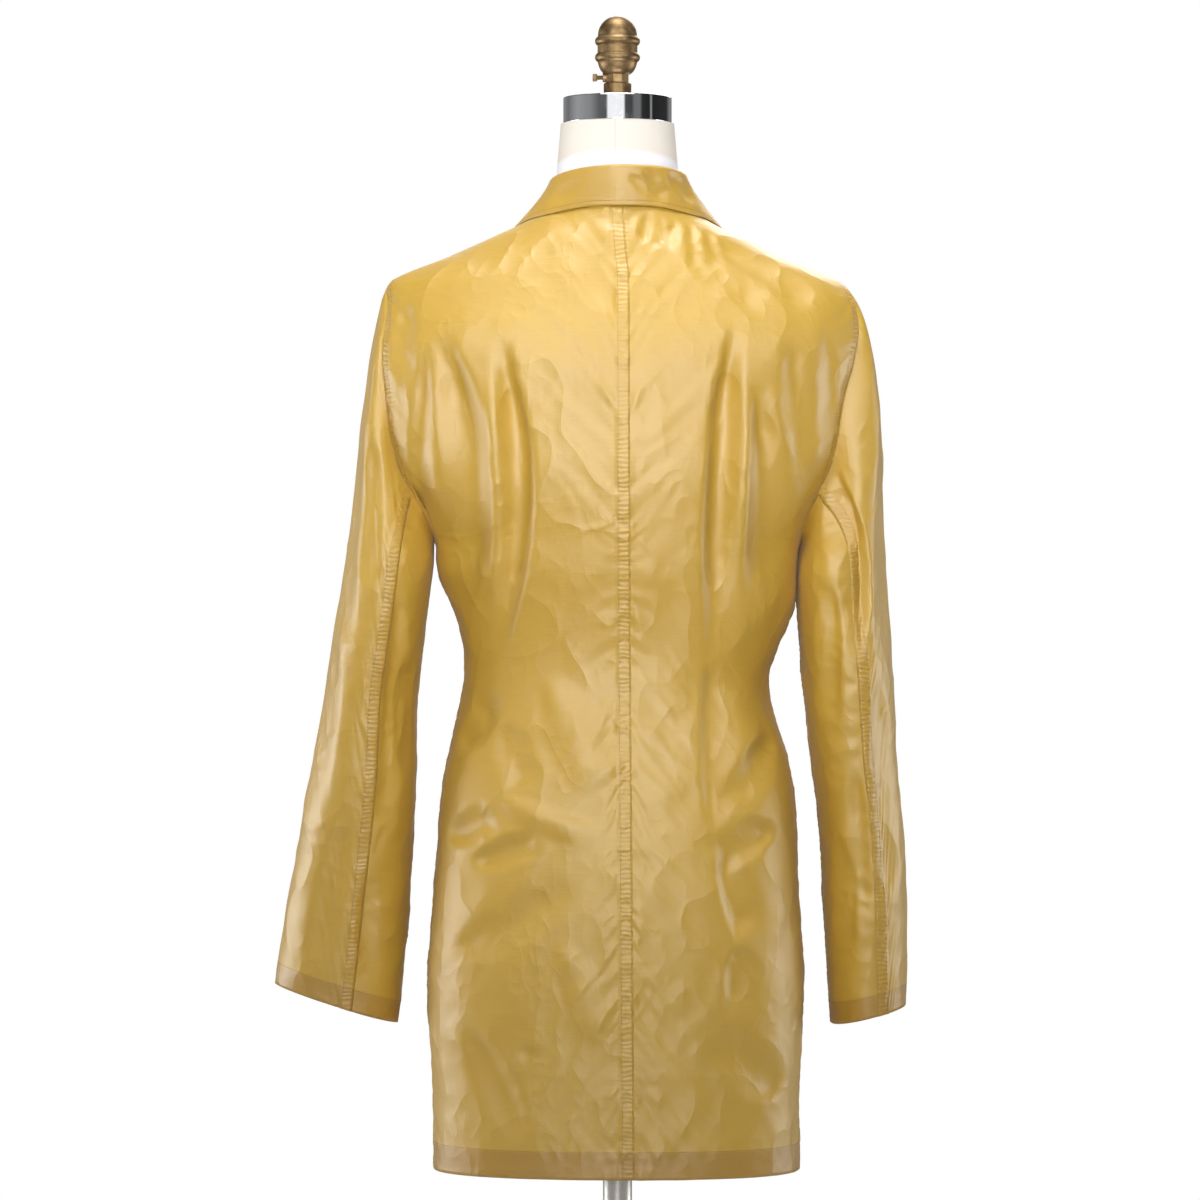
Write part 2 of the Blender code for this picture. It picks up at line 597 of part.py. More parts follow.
def collar_row(side, share):
    """A section of the collar, from its seam over the fold to its outer edge."""
    at = {name: float(curve(-COLLAR["turn"], COLLAR[name], -share)) for name in COLLAR}
    turn = at["turn"]
    sewn = coat_point(side, turn, at["neck_z"])
    out = unit(coat_normal(side, turn, at["neck_z"]) * np.array([1.0, 1.0, 0.0]))
    up = np.array([0.0, 0.0, 1.0])
    start = sewn + up * (SEAM_GAP + WALL / 2) + out * 0.0002
    height = at["stand"] - (at["left_drop"] if side > 0 else 0.0)
    stand = max(height - COLLAR_ROLL_RADIUS, 0.001)
    top = start + up * stand - out * at["lean"]
    centre = top + out * COLLAR_ROLL_RADIUS
    points = [start, start * 0.5 + top * 0.5 - out * 0.0006, top]
    for angle in (135.0, 90.0, 45.0, 0.0):
        swing = math.radians(angle)
        points.append(centre + COLLAR_ROLL_RADIUS * (out * math.cos(swing)
                                                     + up * math.sin(swing)))
    edge_turn, edge_z = at["edge_turn"], at["edge_z"]
    edge = (coat_point(side, edge_turn, edge_z)
            + coat_normal(side, edge_turn, edge_z) * at["edge_lift"])
    bow = coat_normal(side, edge_turn, edge_z) * COLLAR_BOW
    for t in (0.33, 0.67, 1.0):
        points.append(points[6] * (1 - t) + edge * t + bow * 4 * t * (1 - t))
    return points


def collar_grid():
    turns = np.linspace(90.0, COLLAR["turn"][-1], 13)
    left = [collar_row(1, turn) for turn in turns]
    right = [collar_row(-1, turn) for turn in turns[1:]]
    return np.array(right[::-1] + left)


# ---------------------------------------------------------------- Blender objects

def material(name, color, roughness, metallic=0.0):
    new = bpy.data.materials.new(name)
    new.use_nodes = True
    shader = new.node_tree.nodes["Principled BSDF"]
    shader.inputs["Base Color"].default_value = (*color, 1.0)
    shader.inputs["Roughness"].default_value = roughness
    shader.inputs["Metallic"].default_value = metallic
    new.diffuse_color = (*color, 1.0)
    return new


def add_mesh(name, bm, look, parts):
    mesh = bpy.data.meshes.new(name)
    bm.to_mesh(mesh)
    bm.free()
    mesh.materials.append(look)
    new = bpy.data.objects.new(name, mesh)
    parts.objects.link(new)
    return new


def shade_round(new, angle=35.0):
    new.data.shade_smooth()
    new.data.set_sharp_from_angle(angle=math.radians(angle))


def cloth_piece(name, grid, look, parts, lapel=None):
    """A cut piece: a sheet through the grid's points, with the cloth's wall."""
    bm = bmesh.new()
    rows = [[bm.verts.new(point) for point in row] for row in grid]
    if lapel:
        for row, turned in zip(rows, lapel):
            row.extend(bm.verts.new(point) for point in (turned or []))
    for lower, upper in zip(rows, rows[1:]):
        shared = min(len(lower), len(upper))
        for i in range(shared - 1):
            bm.faces.new((lower[i], lower[i + 1], upper[i + 1], upper[i]))
        for i in range(shared - 1, len(upper) - 1):
            bm.faces.new((lower[-1], upper[i + 1], upper[i]))
    new = add_mesh(name, bm, look, parts)
    wall = new.modifiers.new("wall", "SOLIDIFY")
    wall.thickness = WALL
    wall.offset = 0.0
    wall.use_even_offset = True
    shade_round(new)
    return new


def lofted(name, rings, look, parts):
    """A closed solid through closed rings, with flat ends."""
    bm = bmesh.new()
    loops = [[bm.verts.new(point) for point in ring] for ring in rings]
    for lower, upper in zip(loops, loops[1:]):
        for i in range(len(lower)):
            j = (i + 1) % len(lower)
            bm.faces.new((lower[i], lower[j], upper[j], upper[i]))
    bm.faces.new(loops[0][::-1])
    bm.faces.new(loops[-1])
    new = add_mesh(name, bm, look, parts)
    shade_round(new, 50.0)
    return new


def turned(name, profile, look, parts, sides=24):
    """A turned solid: profile is (radius, z) points from its top to its foot, both at radius 0."""
    bm = bmesh.new()
    verts = [bm.verts.new((radius, 0.0, z)) for radius, z in profile]
    for upper, lower in zip(verts, verts[1:]):
        bm.edges.new((upper, lower))
    new = add_mesh(name, bm, look, parts)
    screw = new.modifiers.new("turn", "SCREW")
    screw.steps = screw.render_steps = sides
    screw.use_merge_vertices = True
    screw.merge_threshold = 0.00005
    screw.use_smooth_shade = True
    return new


def make_coat(parts, nylon):
    for side, name in ((1, "left"), (-1, "right")):
        cloth_piece(f"back_{name}", back_grid(side), nylon, parts)
        front, lapel = front_grids(side)
        cloth_piece(f"front_{name}", front, nylon, parts, lapel)
        grid = sleeve_grid(side)
        first, last = SLEEVE_SEAMS[name]["back_step"], SLEEVE_SEAMS[name]["front_step"]
        whole = 2 * ARMHOLE_ROWS
        cloth_piece(f"under_sleeve_{name}", cut_out(grid, first, last), nylon, parts)
        cloth_piece(f"upper_sleeve_{name}", cut_out(grid, last, first + whole), nylon, parts)
    cloth_piece("collar", collar_grid(), nylon, parts)


def button_seat(z, front):
    """The middle of a button's back and the way it faces, clear of the front's flat facets."""
    row_z = np.array([np.interp(0.0, row[:, 0], row[:, 2]) for row in front])
    row_y = np.array([np.interp(0.0, row[:, 0], row[:, 1]) for row in front])
    heights = z + BUTTON_RADIUS * np.linspace(-1.0, 1.0, 7)
    reach = np.interp(heights, row_z, row_y)
    slope = (reach[-1] - reach[0]) / (heights[-1] - heights[0])
    normal = unit(np.array([0.0, -1.0, slope]))
    plane = reach[0] + slope * (heights - heights[0])
    outermost = (reach - plane).min()
    middle = np.array([0.0, np.interp(z, heights, plane) + outermost, z])
    return middle + normal * (WALL / 2 + SEAM_GAP), normal


def make_buttons(parts, look):
    front = front_grids(-1)[0]
    for number, z in enumerate(BUTTON_HEIGHTS, start=1):
        seat, normal = button_seat(z, front)
        bm = bmesh.new()
        bmesh.ops.create_cone(bm, cap_ends=True, segments=16, radius1=BUTTON_RADIUS,
                              radius2=BUTTON_RADIUS, depth=BUTTON_THICKNESS)
        new = add_mesh(f"button_{number}", bm, look, parts)
        new.matrix_world = Matrix.Translation(seat + normal * BUTTON_THICKNESS / 2) @ facing(normal)
        edge = new.modifiers.new("edge", "BEVEL")
        edge.width = 0.0006
        edge.segments = 1
        shade_round(new)


def facing(normal):
    """A rotation that turns +Z to the normal."""
    return Vector(normal).to_track_quat("Z", "Y").to_matrix().to_4x4()


def make_form(parts, canvas, chrome):
    turns = np.linspace(0.0, 360.0, FORM_SIDES + 1)[:-1]
    heights = [FORM["z"][0]]
    for low, high in zip(FORM["z"], FORM["z"][1:]):
        heights.extend(np.linspace(low, high, 1 + math.ceil((high - low) / FORM_STEP))[1:])
    rings = []
    for z in heights:
        x, y, _ = section(FORM, "half", turns, z)
        rings.append(np.stack([x, y, np.full_like(x, z)], axis=-1))
    lofted("form_torso", rings, canvas, parts)
    edge = 0.0012
    turned("neck_ring", [(0.0, RING_TOP_Z), (RING_RADIUS - edge, RING_TOP_Z),
                         (RING_RADIUS, RING_TOP_Z - edge), (RING_RADIUS, RING_BOTTOM_Z + edge),
                         (RING_RADIUS - edge, RING_BOTTOM_Z), (0.0, RING_BOTTOM_Z)],
           chrome, parts, sides=32)


def finial_profile():
    """The finial's outline, top to foot: dome, two ribs with a waist, bowl, shank and flange."""
    dome_radius, dome_foot, dome_top = 0.0168, 1.5455, 1.5622
    points = []
    for angle in range(90, -1, -15):
        swing = math.radians(angle)
        points.append((dome_radius * math.cos(swing),
                       dome_foot + (dome_top - dome_foot) * math.sin(swing)))
    rib_radius, rib_half = 0.0194, 0.0042
    for rib_z in (1.5405, 1.5265):
        for angle in (60, 20, -20, -60):
            swing = math.radians(angle)
            points.append((rib_radius - rib_half * (1 - math.cos(swing)),
                           rib_z + rib_half * math.sin(swing)))
    points += [(0.0166, 1.5208), (0.0133, 1.5141), (0.0101, 1.5117), (0.0098, 1.5048),
               (0.0119, 1.5038), (0.0119, FINIAL_BOTTOM_Z + 0.001),
               (0.0110, FINIAL_BOTTOM_Z), (0.0, FINIAL_BOTTOM_Z)]
    return points


def rod_x(name, radius, start, end, z, parts, sides=20):
    """A rod along X, used to cut or to join."""
    bm = bmesh.new()
    bmesh.ops.create_cone(bm, cap_ends=True, segments=sides, radius1=radius, radius2=radius,
                          depth=end - start)
    mesh = bpy.data.meshes.new(name)
    bm.to_mesh(mesh)
    bm.free()
    new = bpy.data.objects.new(name, mesh)
    parts.objects.link(new)
    new.matrix_world = (Matrix.Translation(((start + end) / 2, 0.0, z))
                        @ Matrix.Rotation(math.pi / 2, 4, "Y"))
    new.hide_render = True
    new.display_type = "WIRE"
    return new


def make_finial(parts, cutters, brass):
    finial = turned("finial", finial_profile(), brass, parts, sides=24)
    boss = rod_x("boss_shape", BOSS_RADIUS, 0.004, BOSS_END_X, BOSS_Z, cutters)
    bore = rod_x("bore_shape", BORE_RADIUS, BORE_BOTTOM_X, BOSS_END_X + 0.01, BOSS_Z, cutters)
    for shape, operation in ((boss, "UNION"), (bore, "DIFFERENCE")):
        step = finial.modifiers.new(shape.name, "BOOLEAN")
        step.object = shape
        step.operation = operation
        step.solver = "EXACT"
    screw = turned("thumbscrew", [
        (0.0, SCREW_HEAD_LENGTH), (SCREW_HEAD_RADIUS - 0.0005, SCREW_HEAD_LENGTH),
        (SCREW_HEAD_RADIUS, SCREW_HEAD_LENGTH - 0.0005), (SCREW_HEAD_RADIUS, 0.0005),
        (SCREW_HEAD_RADIUS - 0.0005, 0.0), (SCREW_RADIUS, 0.0),
        (SCREW_RADIUS, SCREW_TIP_X - SCREW_HEAD_X), (0.0, SCREW_TIP_X - SCREW_HEAD_X)],
        brass, parts, sides=20)
    screw.matrix_world = (Matrix.Translation((SCREW_HEAD_X, 0.0, BOSS_Z))
                          @ Matrix.Rotation(math.pi / 2, 4, "Y"))


def make_stand(parts, steel, iron):
    turned("stand_pole", [(0.0, TORSO_BOTTOM_Z - SEAM_GAP), (POLE_RADIUS, TORSO_BOTTOM_Z - SEAM_GAP),
                          (POLE_RADIUS, BASE_HUB_Z + SEAM_GAP), (0.0, BASE_HUB_Z + SEAM_GAP)],
           steel, parts, sides=24)
    turned("stand_base", [(0.0, BASE_HUB_Z), (BASE_HUB_RADIUS - 0.004, BASE_HUB_Z),
                          (BASE_HUB_RADIUS, BASE_HUB_Z - 0.004), (BASE_HUB_RADIUS, 0.024),
                          (BASE_HUB_RADIUS + 0.008, 0.018), (BASE_RADIUS - 0.012, 0.012),
                          (BASE_RADIUS - 0.002, BASE_EDGE), (BASE_RADIUS, BASE_EDGE - 0.002),
                          (BASE_RADIUS, 0.001), (BASE_RADIUS - 0.001, 0.0), (0.0, 0.0)],
           iron, parts, sides=32)


def main():
    for old in list(bpy.data.objects):
        bpy.data.objects.remove(old, do_unlink=True)
    parts = bpy.data.collections.new("raincoat_on_dress_form")
    cutters = bpy.data.collections.new("cutters")
    for collection in (parts, cutters):
        bpy.context.scene.collection.children.link(collection)
    nylon = material("nylon", (0.66, 0.45, 0.13), 0.38)
    canvas = material("canvas", (0.80, 0.74, 0.62), 0.85)
    chrome = material("chrome", (0.80, 0.81, 0.83), 0.08, 1.0)
    brass = material("aged_brass", (0.30, 0.20, 0.08), 0.42, 1.0)
    steel = material("painted_steel", (0.75, 0.75, 0.74), 0.35, 0.6)
    iron = material("painted_iron", (0.12, 0.12, 0.12), 0.5, 0.2)
    horn = material("button", (0.55, 0.37, 0.12), 0.3)
    make_coat(parts, nylon)
    make_buttons(parts, horn)
    make_form(parts, canvas, chrome)
    make_finial(parts, cutters, brass)
    make_stand(parts, steel, iron)


main()
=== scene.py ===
"""The raincoat on its dress form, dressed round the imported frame.

Each cut piece is a thin fine shell on its solid's form. The coat's level tables are the solids'
own, and the creases, seams and stitches are laid on them here. Metres, +Z up, the coat's back
faces +Y and its left side is +X.
"""

import math

import bmesh
import bpy
import numpy as np
from mathutils import Matrix, Vector

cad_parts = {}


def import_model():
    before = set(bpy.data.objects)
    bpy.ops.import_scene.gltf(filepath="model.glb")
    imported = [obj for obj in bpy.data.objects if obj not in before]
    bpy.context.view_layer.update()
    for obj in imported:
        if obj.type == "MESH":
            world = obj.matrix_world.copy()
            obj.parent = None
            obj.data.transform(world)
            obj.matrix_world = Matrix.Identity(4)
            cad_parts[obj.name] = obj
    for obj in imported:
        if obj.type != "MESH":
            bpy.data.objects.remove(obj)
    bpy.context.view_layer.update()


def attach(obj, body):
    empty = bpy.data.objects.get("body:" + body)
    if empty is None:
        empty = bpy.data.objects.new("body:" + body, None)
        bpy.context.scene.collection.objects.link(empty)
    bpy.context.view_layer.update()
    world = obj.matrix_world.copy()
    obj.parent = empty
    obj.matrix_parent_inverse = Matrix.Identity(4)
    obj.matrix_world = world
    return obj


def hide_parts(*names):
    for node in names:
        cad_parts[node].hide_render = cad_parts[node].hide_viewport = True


CLOTH = 0.0005
SEAM_GAP = 0.0003
LAP = 0.0055                 # half of a felled seam: how far the upper cloth runs past the seam
LAP_RISE = 0.0006
FELL_LINES = (0.0013, 0.0099)           # a felled seam's stitch lines, from its upper edge
ARMHOLE_LINES = (0.0016, 0.0080)        # the armhole's, from the body's edge
COLLAR_LINE = 0.0045
EDGE_LINE = 0.0035                      # the right front's edge stitch
HEM_DEPTH = 0.0235
CUFF_DEPTH = 0.019
STITCH = 0.0019
STITCH_PITCH = 0.0026
STITCH_HALF_WIDTH = 0.00034
STITCH_RISE = 0.00028
SEAM_END = 0.004             # how near the underarm and the shoulder a seam's relief ends
SEAM_FADE = 0.02             # and over what height it fades
BODY_SEED = 3
SLEEVE_SEED = 40
FELL_DEPTH = 0.0105          # how far a felled seam's double cloth reaches
DOUBLED_SHADE = {"hem": 0.75, "cuff": 0.70, "side": 0.20, "sleeve": 0.25, "centre": 0.05,
           "lapel": 0.25, "collar": 0.12}    # painted shade: how much darker the cloth is painted where it lies double
DRAG_Z, DRAG_FADE = 1.04, 0.12          # where the centre seam's pulls turn upward
# The studio's walls as the object sees them: degrees from the camera's side towards +X, and how
# bright the wall is there.
ROOM_WALLS = ((-180, 0.24), (-145, 0.20), (-128, 0.03), (-80, 0.02), (-76, 0.35), (-72, 0.02),
              (-54, 0.03), (-48, 0.18), (-36, 0.17), (-30, 0.06), (-16, 0.08), (-13, 1.0),
              (20, 1.0), (24, 0.10), (40, 0.12), (60, 0.26), (95, 0.34), (130, 0.16), (150, 0.24),
              (180, 0.24))
WALLS_MIDDLE = 0.10          # the height of the walls' middle above the horizon, as a sine
WALLS_FADE = (0.10, 0.16)    # how far from that middle the walls begin and end their fall
ABOVE_WALLS = 0.12           # and the share of their light that is left past it
FLOOR_RADIUS = 1.3
FLOOR_Z = -0.0005
CAMERA = (0.01505, 4.38, 1.06)
SENSOR_WIDTH = 36.0
FRAME_WIDTH = 1200 * 0.00086
CREASE_RADIUS = 0.003
COLLAR_SETTLE = 0.24         # how much of the solid collar's lift its soft edge keeps
TUCK = 0.0075                # the seam's turnings that run on under the neighbouring piece

# Each lamp's name, place, aim, width, height, power in watts and spread in degrees
LIGHTS = (
    ("key", (0.0, 1.5, 1.30), (0.0, 0.0, 1.25), 0.5, 0.5, 0.95, 60.0),
    ("high", (0.1, 1.1, 2.10), (0.0, 0.0, 1.20), 0.5, 0.5, 0.15, 60.0),
    ("key_left", (0.8, 1.6, 2.10), (0.05, 0.0, 1.25), 0.6, 0.6, 2.3, 80.0),
    ("key_right", (-0.8, 1.6, 2.10), (-0.05, 0.0, 1.25), 0.6, 0.6, 1.7, 80.0),
    ("low", (0.0, 3.5, 0.60), (0.0, 0.0, 1.00), 1.0, 1.0, 9.0, 120.0),
    ("top", (0.0, 0.2, 3.4), (0.0, 0.0, 1.2), 1.0, 1.0, 18.0, 120.0),
    ("left", (2.6, -0.6, 0.85), (0.0, 0.0, 1.10), 1.2, 1.0, 15.0, 120.0),
    ("right", (-2.6, -0.6, 0.85), (0.0, 0.0, 1.10), 1.2, 1.0, 11.0, 120.0),
    ("front", (-0.4, -2.3, 2.6), (0.0, 0.0, 1.10), 1.4, 1.2, 16.0, 120.0),
)

# The coat's measures, as in the solids
WALL = 0.0012
SLEEVE_SEAM_GAP = 0.0007
ROLL_RADIUS = 0.0016
COLLAR_ROLL_RADIUS = 0.0022
COLLAR_BOW = 0.0004
HEM_Z = 0.572
UNDERARM_Z = 1.110
SHOULDER_Z = 1.335
NECK_SIDE_Z = 1.392
NECK_BACK_Z = 1.400
ROLL_TOP_Z = 1.370
ARMHOLE_BACK = 0.052
ARMHOLE_FRONT = 0.056
OVERLAP = 0.022
BREAK_Z = 1.135
ROLL_TOP_X = 0.0575
LEFT_BREAK_Z = 1.222
LAP_LIFT = 0.0024
LAP_START_X = -0.060
LAP_START_WIDTH = 0.030
LAP_FADE_Z = 0.050

# The buttons, form and stand, as in the solids
BUTTON_RADIUS = 0.009
BUTTON_THICKNESS = 0.0026
BUTTON_HEIGHTS = (1.115, 1.005, 0.895, 0.785)
RING_BOTTOM_Z = 1.4694
RING_TOP_Z = 1.4917
RING_RADIUS = 0.0466
FINIAL_BOTTOM_Z = 1.4920
BOSS_Z = 1.5092
BOSS_RADIUS = 0.0040
BOSS_END_X = 0.0128
BORE_RADIUS = 0.0024
SCREW_RADIUS = 0.0020
SCREW_TIP_X = 0.0076
SCREW_HEAD_X = 0.0174
SCREW_HEAD_RADIUS = 0.0033
TORSO_BOTTOM_Z = 0.745
POLE_RADIUS = 0.0125
BASE_RADIUS = 0.170
BASE_HUB_RADIUS = 0.030
BASE_HUB_Z = 0.045
AXIS_RADIUS = 0.00005        # the least radius of a turned outline's ring
BOSS_LENGTH = 0.0055
SHANK_Z = (1.5049, 1.5117)   # the finial's flat-sided shank
SHANK_APOTHEM = 0.0095
SHANK_SIDES = 8
SCREW_SIDES = 48
THREAD_DEPTH = 0.00016
THREAD_PITCH = 0.0007
KNURL_DEPTH = 0.00018
HOLE_OFFSET = 0.0013         # a button's holes off its middle, both ways
HOLE_RADIUS = 0.00075
BUTTON_DISH = 0.62           # the share of a button's thickness at its dished middle
BUTTONHOLE = (0.0110, 0.0007)  # half of its length and of its width

# Finishes whose tone wanders: name, low and high color, roughness, metallic, the scale of the
# noise and the height of its bump
SPECKLED = {
    "thread": ("thread", (0.24, 0.13, 0.028), (0.33, 0.19, 0.05), 0.6, 0.0, 400.0, 0.00005),
    "brass": ("aged_brass", (0.19, 0.120, 0.050), (0.36, 0.240, 0.115), 0.46, 0.85, 110.0,
              0.00012),
    "pole": ("painted_steel", (0.74, 0.74, 0.73), (0.80, 0.80, 0.79), 0.32, 0.3, 160.0, 0.00006),
    "base": ("painted_iron", (0.028, 0.028, 0.030), (0.050, 0.050, 0.053), 0.45, 0.1, 420.0,
             0.0004),
    "button": ("button", (0.42, 0.265, 0.075), (0.60, 0.42, 0.15), 0.22, 0.0, 130.0, 0.00003),
}
BAND_EDGE = (1.4350, 1.4310)  # where the neck's white band ends upward, at its middle
BAND_SLOPE = 0.18
NECK_SEAM_X = 0.0020

# Grid steps
SKIRT_ROWS = 198
ARMHOLE_ROWS = 78
SHOULDER_ROWS = 22
BODY_COLUMNS = 94
BODY_PLACES = 160            # the fine steps along a row, of which the columns are taken
END_SHARE = 0.32             # the columns' spacing at a row's ends, as a share of the even one
LAPEL_SHARES = np.linspace(0.04, 1.0, 25)
SLEEVE_HEAD_ROWS = 60
SLEEVE_TUBE_ROWS = 150
TUCK_ROWS = 4
UPPER_COLUMNS, UNDER_COLUMNS = 88, 40
COLLAR_COLUMNS = 110
FORM_SIDES, FORM_RINGS = 128, 110
ARMHOLE_SPAN = range(SKIRT_ROWS + 2, SKIRT_ROWS + ARMHOLE_ROWS + 1)

SLEEVE_LAP = 0.28            # an upper sleeve's lap over its seams, in steps of the ring
RING_STEPS = 20              # the steps round the armhole that the sleeves' seams are named by


def table(columns, *rows):
    """A table with a named column for each word of its heading."""
    return {name: np.array([row[i] for row in rows], float)
            for i, name in enumerate(columns.split())}


COAT = table(
    "z       left    right   back    front   square",
    (0.572,  0.1575, 0.1561, 0.0980, 0.1040, 2.35),
    (0.664,  0.1592, 0.1561, 0.1030, 0.1070, 2.35),
    (0.733,  0.1630, 0.1590, 0.1080, 0.1100, 2.35),
    (0.819,  0.1565, 0.1543, 0.1110, 0.1120, 2.35),
    (0.922,  0.1456, 0.1457, 0.1010, 0.1060, 2.30),
    (0.998,  0.1308, 0.1294, 0.0920, 0.1000, 2.25),
    (1.060,  0.1435, 0.1520, 0.1010, 0.1090, 2.25),
    (1.085,  0.1540, 0.1535, 0.1070, 0.1160, 2.28),
    (1.110,  0.1572, 0.1565, 0.1120, 0.1220, 2.30),
    (1.145,  0.1790, 0.1740, 0.1170, 0.1270, 2.35),
    (1.180,  0.1990, 0.1930, 0.1190, 0.1265, 2.40),
    (1.230,  0.2100, 0.2040, 0.1190, 0.1210, 2.40),
    (1.285,  0.2110, 0.2150, 0.1130, 0.1080, 2.35),
    (1.315,  0.2040, 0.2090, 0.1010, 0.0970, 2.25),
    (1.3352, 0.1918, 0.1876, 0.0920, 0.0860, 2.15),
    (1.3524, 0.1515, 0.1473, 0.0840, 0.0740, 2.10),
    (1.3696, 0.1115, 0.1108, 0.0755, 0.0610, 2.05),
    (1.3834, 0.0812, 0.0820, 0.0675, 0.0500, 2.00),
    (1.3920, 0.0680, 0.0690, 0.0638, 0.0440, 2.00),
    (1.4000, 0.0600, 0.0600, 0.0600, 0.0400, 2.00),
)
CENTRE_BACK = table(
    "z       x",
    (0.572, -0.0086),
    (1.050, -0.0052),
    (1.400, -0.0040),
)
LAPEL = table(
    "z       left    right",
    (1.135,  0.0000, 0.0000),
    (1.165,  0.0000, 0.0200),
    (1.200,  0.0000, 0.0410),
    (1.222,  0.0000, 0.0520),
    (1.250,  0.0560, 0.0630),
    (1.300,  0.0790, 0.0790),
    (1.316,  0.0780, 0.0780),
    (1.334,  0.0430, 0.0430),
    (1.352,  0.0230, 0.0230),
    (1.370,  0.0060, 0.0060),
)
SLEEVES = {
    "left": table(
        "z      outer   inner   y        depth   drop",
        (1.086, 0.2365, 0.1585, -0.0010, 0.0660, 0.000),
        (1.040, 0.2430, 0.1640, -0.0030, 0.0640, 0.000),
        (0.974, 0.2545, 0.1724, -0.0080, 0.0600, 0.002),
        (0.922, 0.2622, 0.1725, -0.0130, 0.0570, 0.006),
        (0.871, 0.2705, 0.1755, -0.0200, 0.0540, 0.012),
        (0.768, 0.2893, 0.1840, -0.0360, 0.0500, 0.026),
        (0.711, 0.2971, 0.1908, -0.0440, 0.0470, 0.034),
    ),
    "right": table(
        "z      outer   inner   y        depth   drop",
        (1.086, 0.2325, 0.1550, -0.0010, 0.0670, 0.000),
        (1.040, 0.2350, 0.1560, -0.0030, 0.0670, 0.000),
        (0.974, 0.2386, 0.1610, -0.0080, 0.0660, 0.000),
        (0.922, 0.2412, 0.1670, -0.0130, 0.0650, 0.002),
        (0.871, 0.2455, 0.1745, -0.0190, 0.0640, 0.006),
        (0.768, 0.2510, 0.1805, -0.0330, 0.0620, 0.012),
        (0.702, 0.2510, 0.1855, -0.0400, 0.0600, 0.017),
    ),
}
SLEEVE_SEAMS = {
    "left": {"back_turn": 99.0, "front_turn": 212.0, "back_step": 7, "front_step": 12},
    "right": {"back_turn": 76.0, "front_turn": 190.0, "back_step": 7, "front_step": 11},
}
SLEEVE_SWELL = {"left": 0.21, "right": 0.42}
SLEEVE_LEAVE_OUT = 0.62
SLEEVE_LEAVE_TOP = 0.12
SLEEVE_LEAVE_ALONG = 0.22
SLEEVE_LEAVE_DOWN = 0.72
SLEEVE_ARRIVE = 1.05
SHOULDER_WAY = (0.92, -0.39)  # the way across the seam at the shoulder, outward and up
SLEEVE_SQUARE = 0.92
COLLAR = table(
    "turn    neck_z  stand   left_drop lean     edge_turn edge_z  edge_lift",
    (90.0,   1.4000, 0.0285, 0.0000,   -0.0010, 90.0,     1.3935, 0.0080),
    (60.0,   1.3985, 0.0290, 0.0010,    0.0010, 62.0,     1.3925, 0.0075),
    (30.0,   1.3950, 0.0300, 0.0030,    0.0070, 36.0,     1.3880, 0.0060),
    (0.0,    1.3920, 0.0290, 0.0045,    0.0130,  6.0,     1.3838, 0.0045),
    (-25.0,  1.3870, 0.0235, 0.0035,    0.0120, -24.0,    1.3725, 0.0045),
    (-45.0,  1.3780, 0.0145, 0.0010,    0.0080, -38.0,    1.3600, 0.0050),
    (-58.0,  1.3700, 0.0090, 0.0000,    0.0030, -47.0,    1.3490, 0.0055),
)
FORM = table(
    "z       half    back    front   square",
    (0.745,  0.1410, 0.0960, 0.0940, 2.30),
    (0.800,  0.1435, 0.0990, 0.0960, 2.30),
    (0.850,  0.1400, 0.0980, 0.0940, 2.30),
    (0.920,  0.1300, 0.0860, 0.0880, 2.25),
    (1.000,  0.1175, 0.0750, 0.0800, 2.20),
    (1.060,  0.1290, 0.0830, 0.0920, 2.20),
    (1.120,  0.1450, 0.0960, 0.1090, 2.25),
    (1.180,  0.1590, 0.1010, 0.1120, 2.30),
    (1.240,  0.1710, 0.1020, 0.1030, 2.30),
    (1.290,  0.1800, 0.0960, 0.0900, 2.25),
    (1.320,  0.1835, 0.0870, 0.0800, 2.15),
    (1.3352, 0.1838, 0.0835, 0.0750, 2.10),
    (1.3524, 0.1440, 0.0765, 0.0640, 2.10),
    (1.3696, 0.1072, 0.0678, 0.0530, 2.05),
    (1.3834, 0.0770, 0.0598, 0.0450, 2.00),
    (1.3960, 0.0600, 0.0540, 0.0470, 2.00),
    (1.4150, 0.0535, 0.0525, 0.0500, 2.00),
    (1.4400, 0.0512, 0.0512, 0.0505, 2.00),
    (1.4691, 0.0488, 0.0488, 0.0488, 2.00),
)

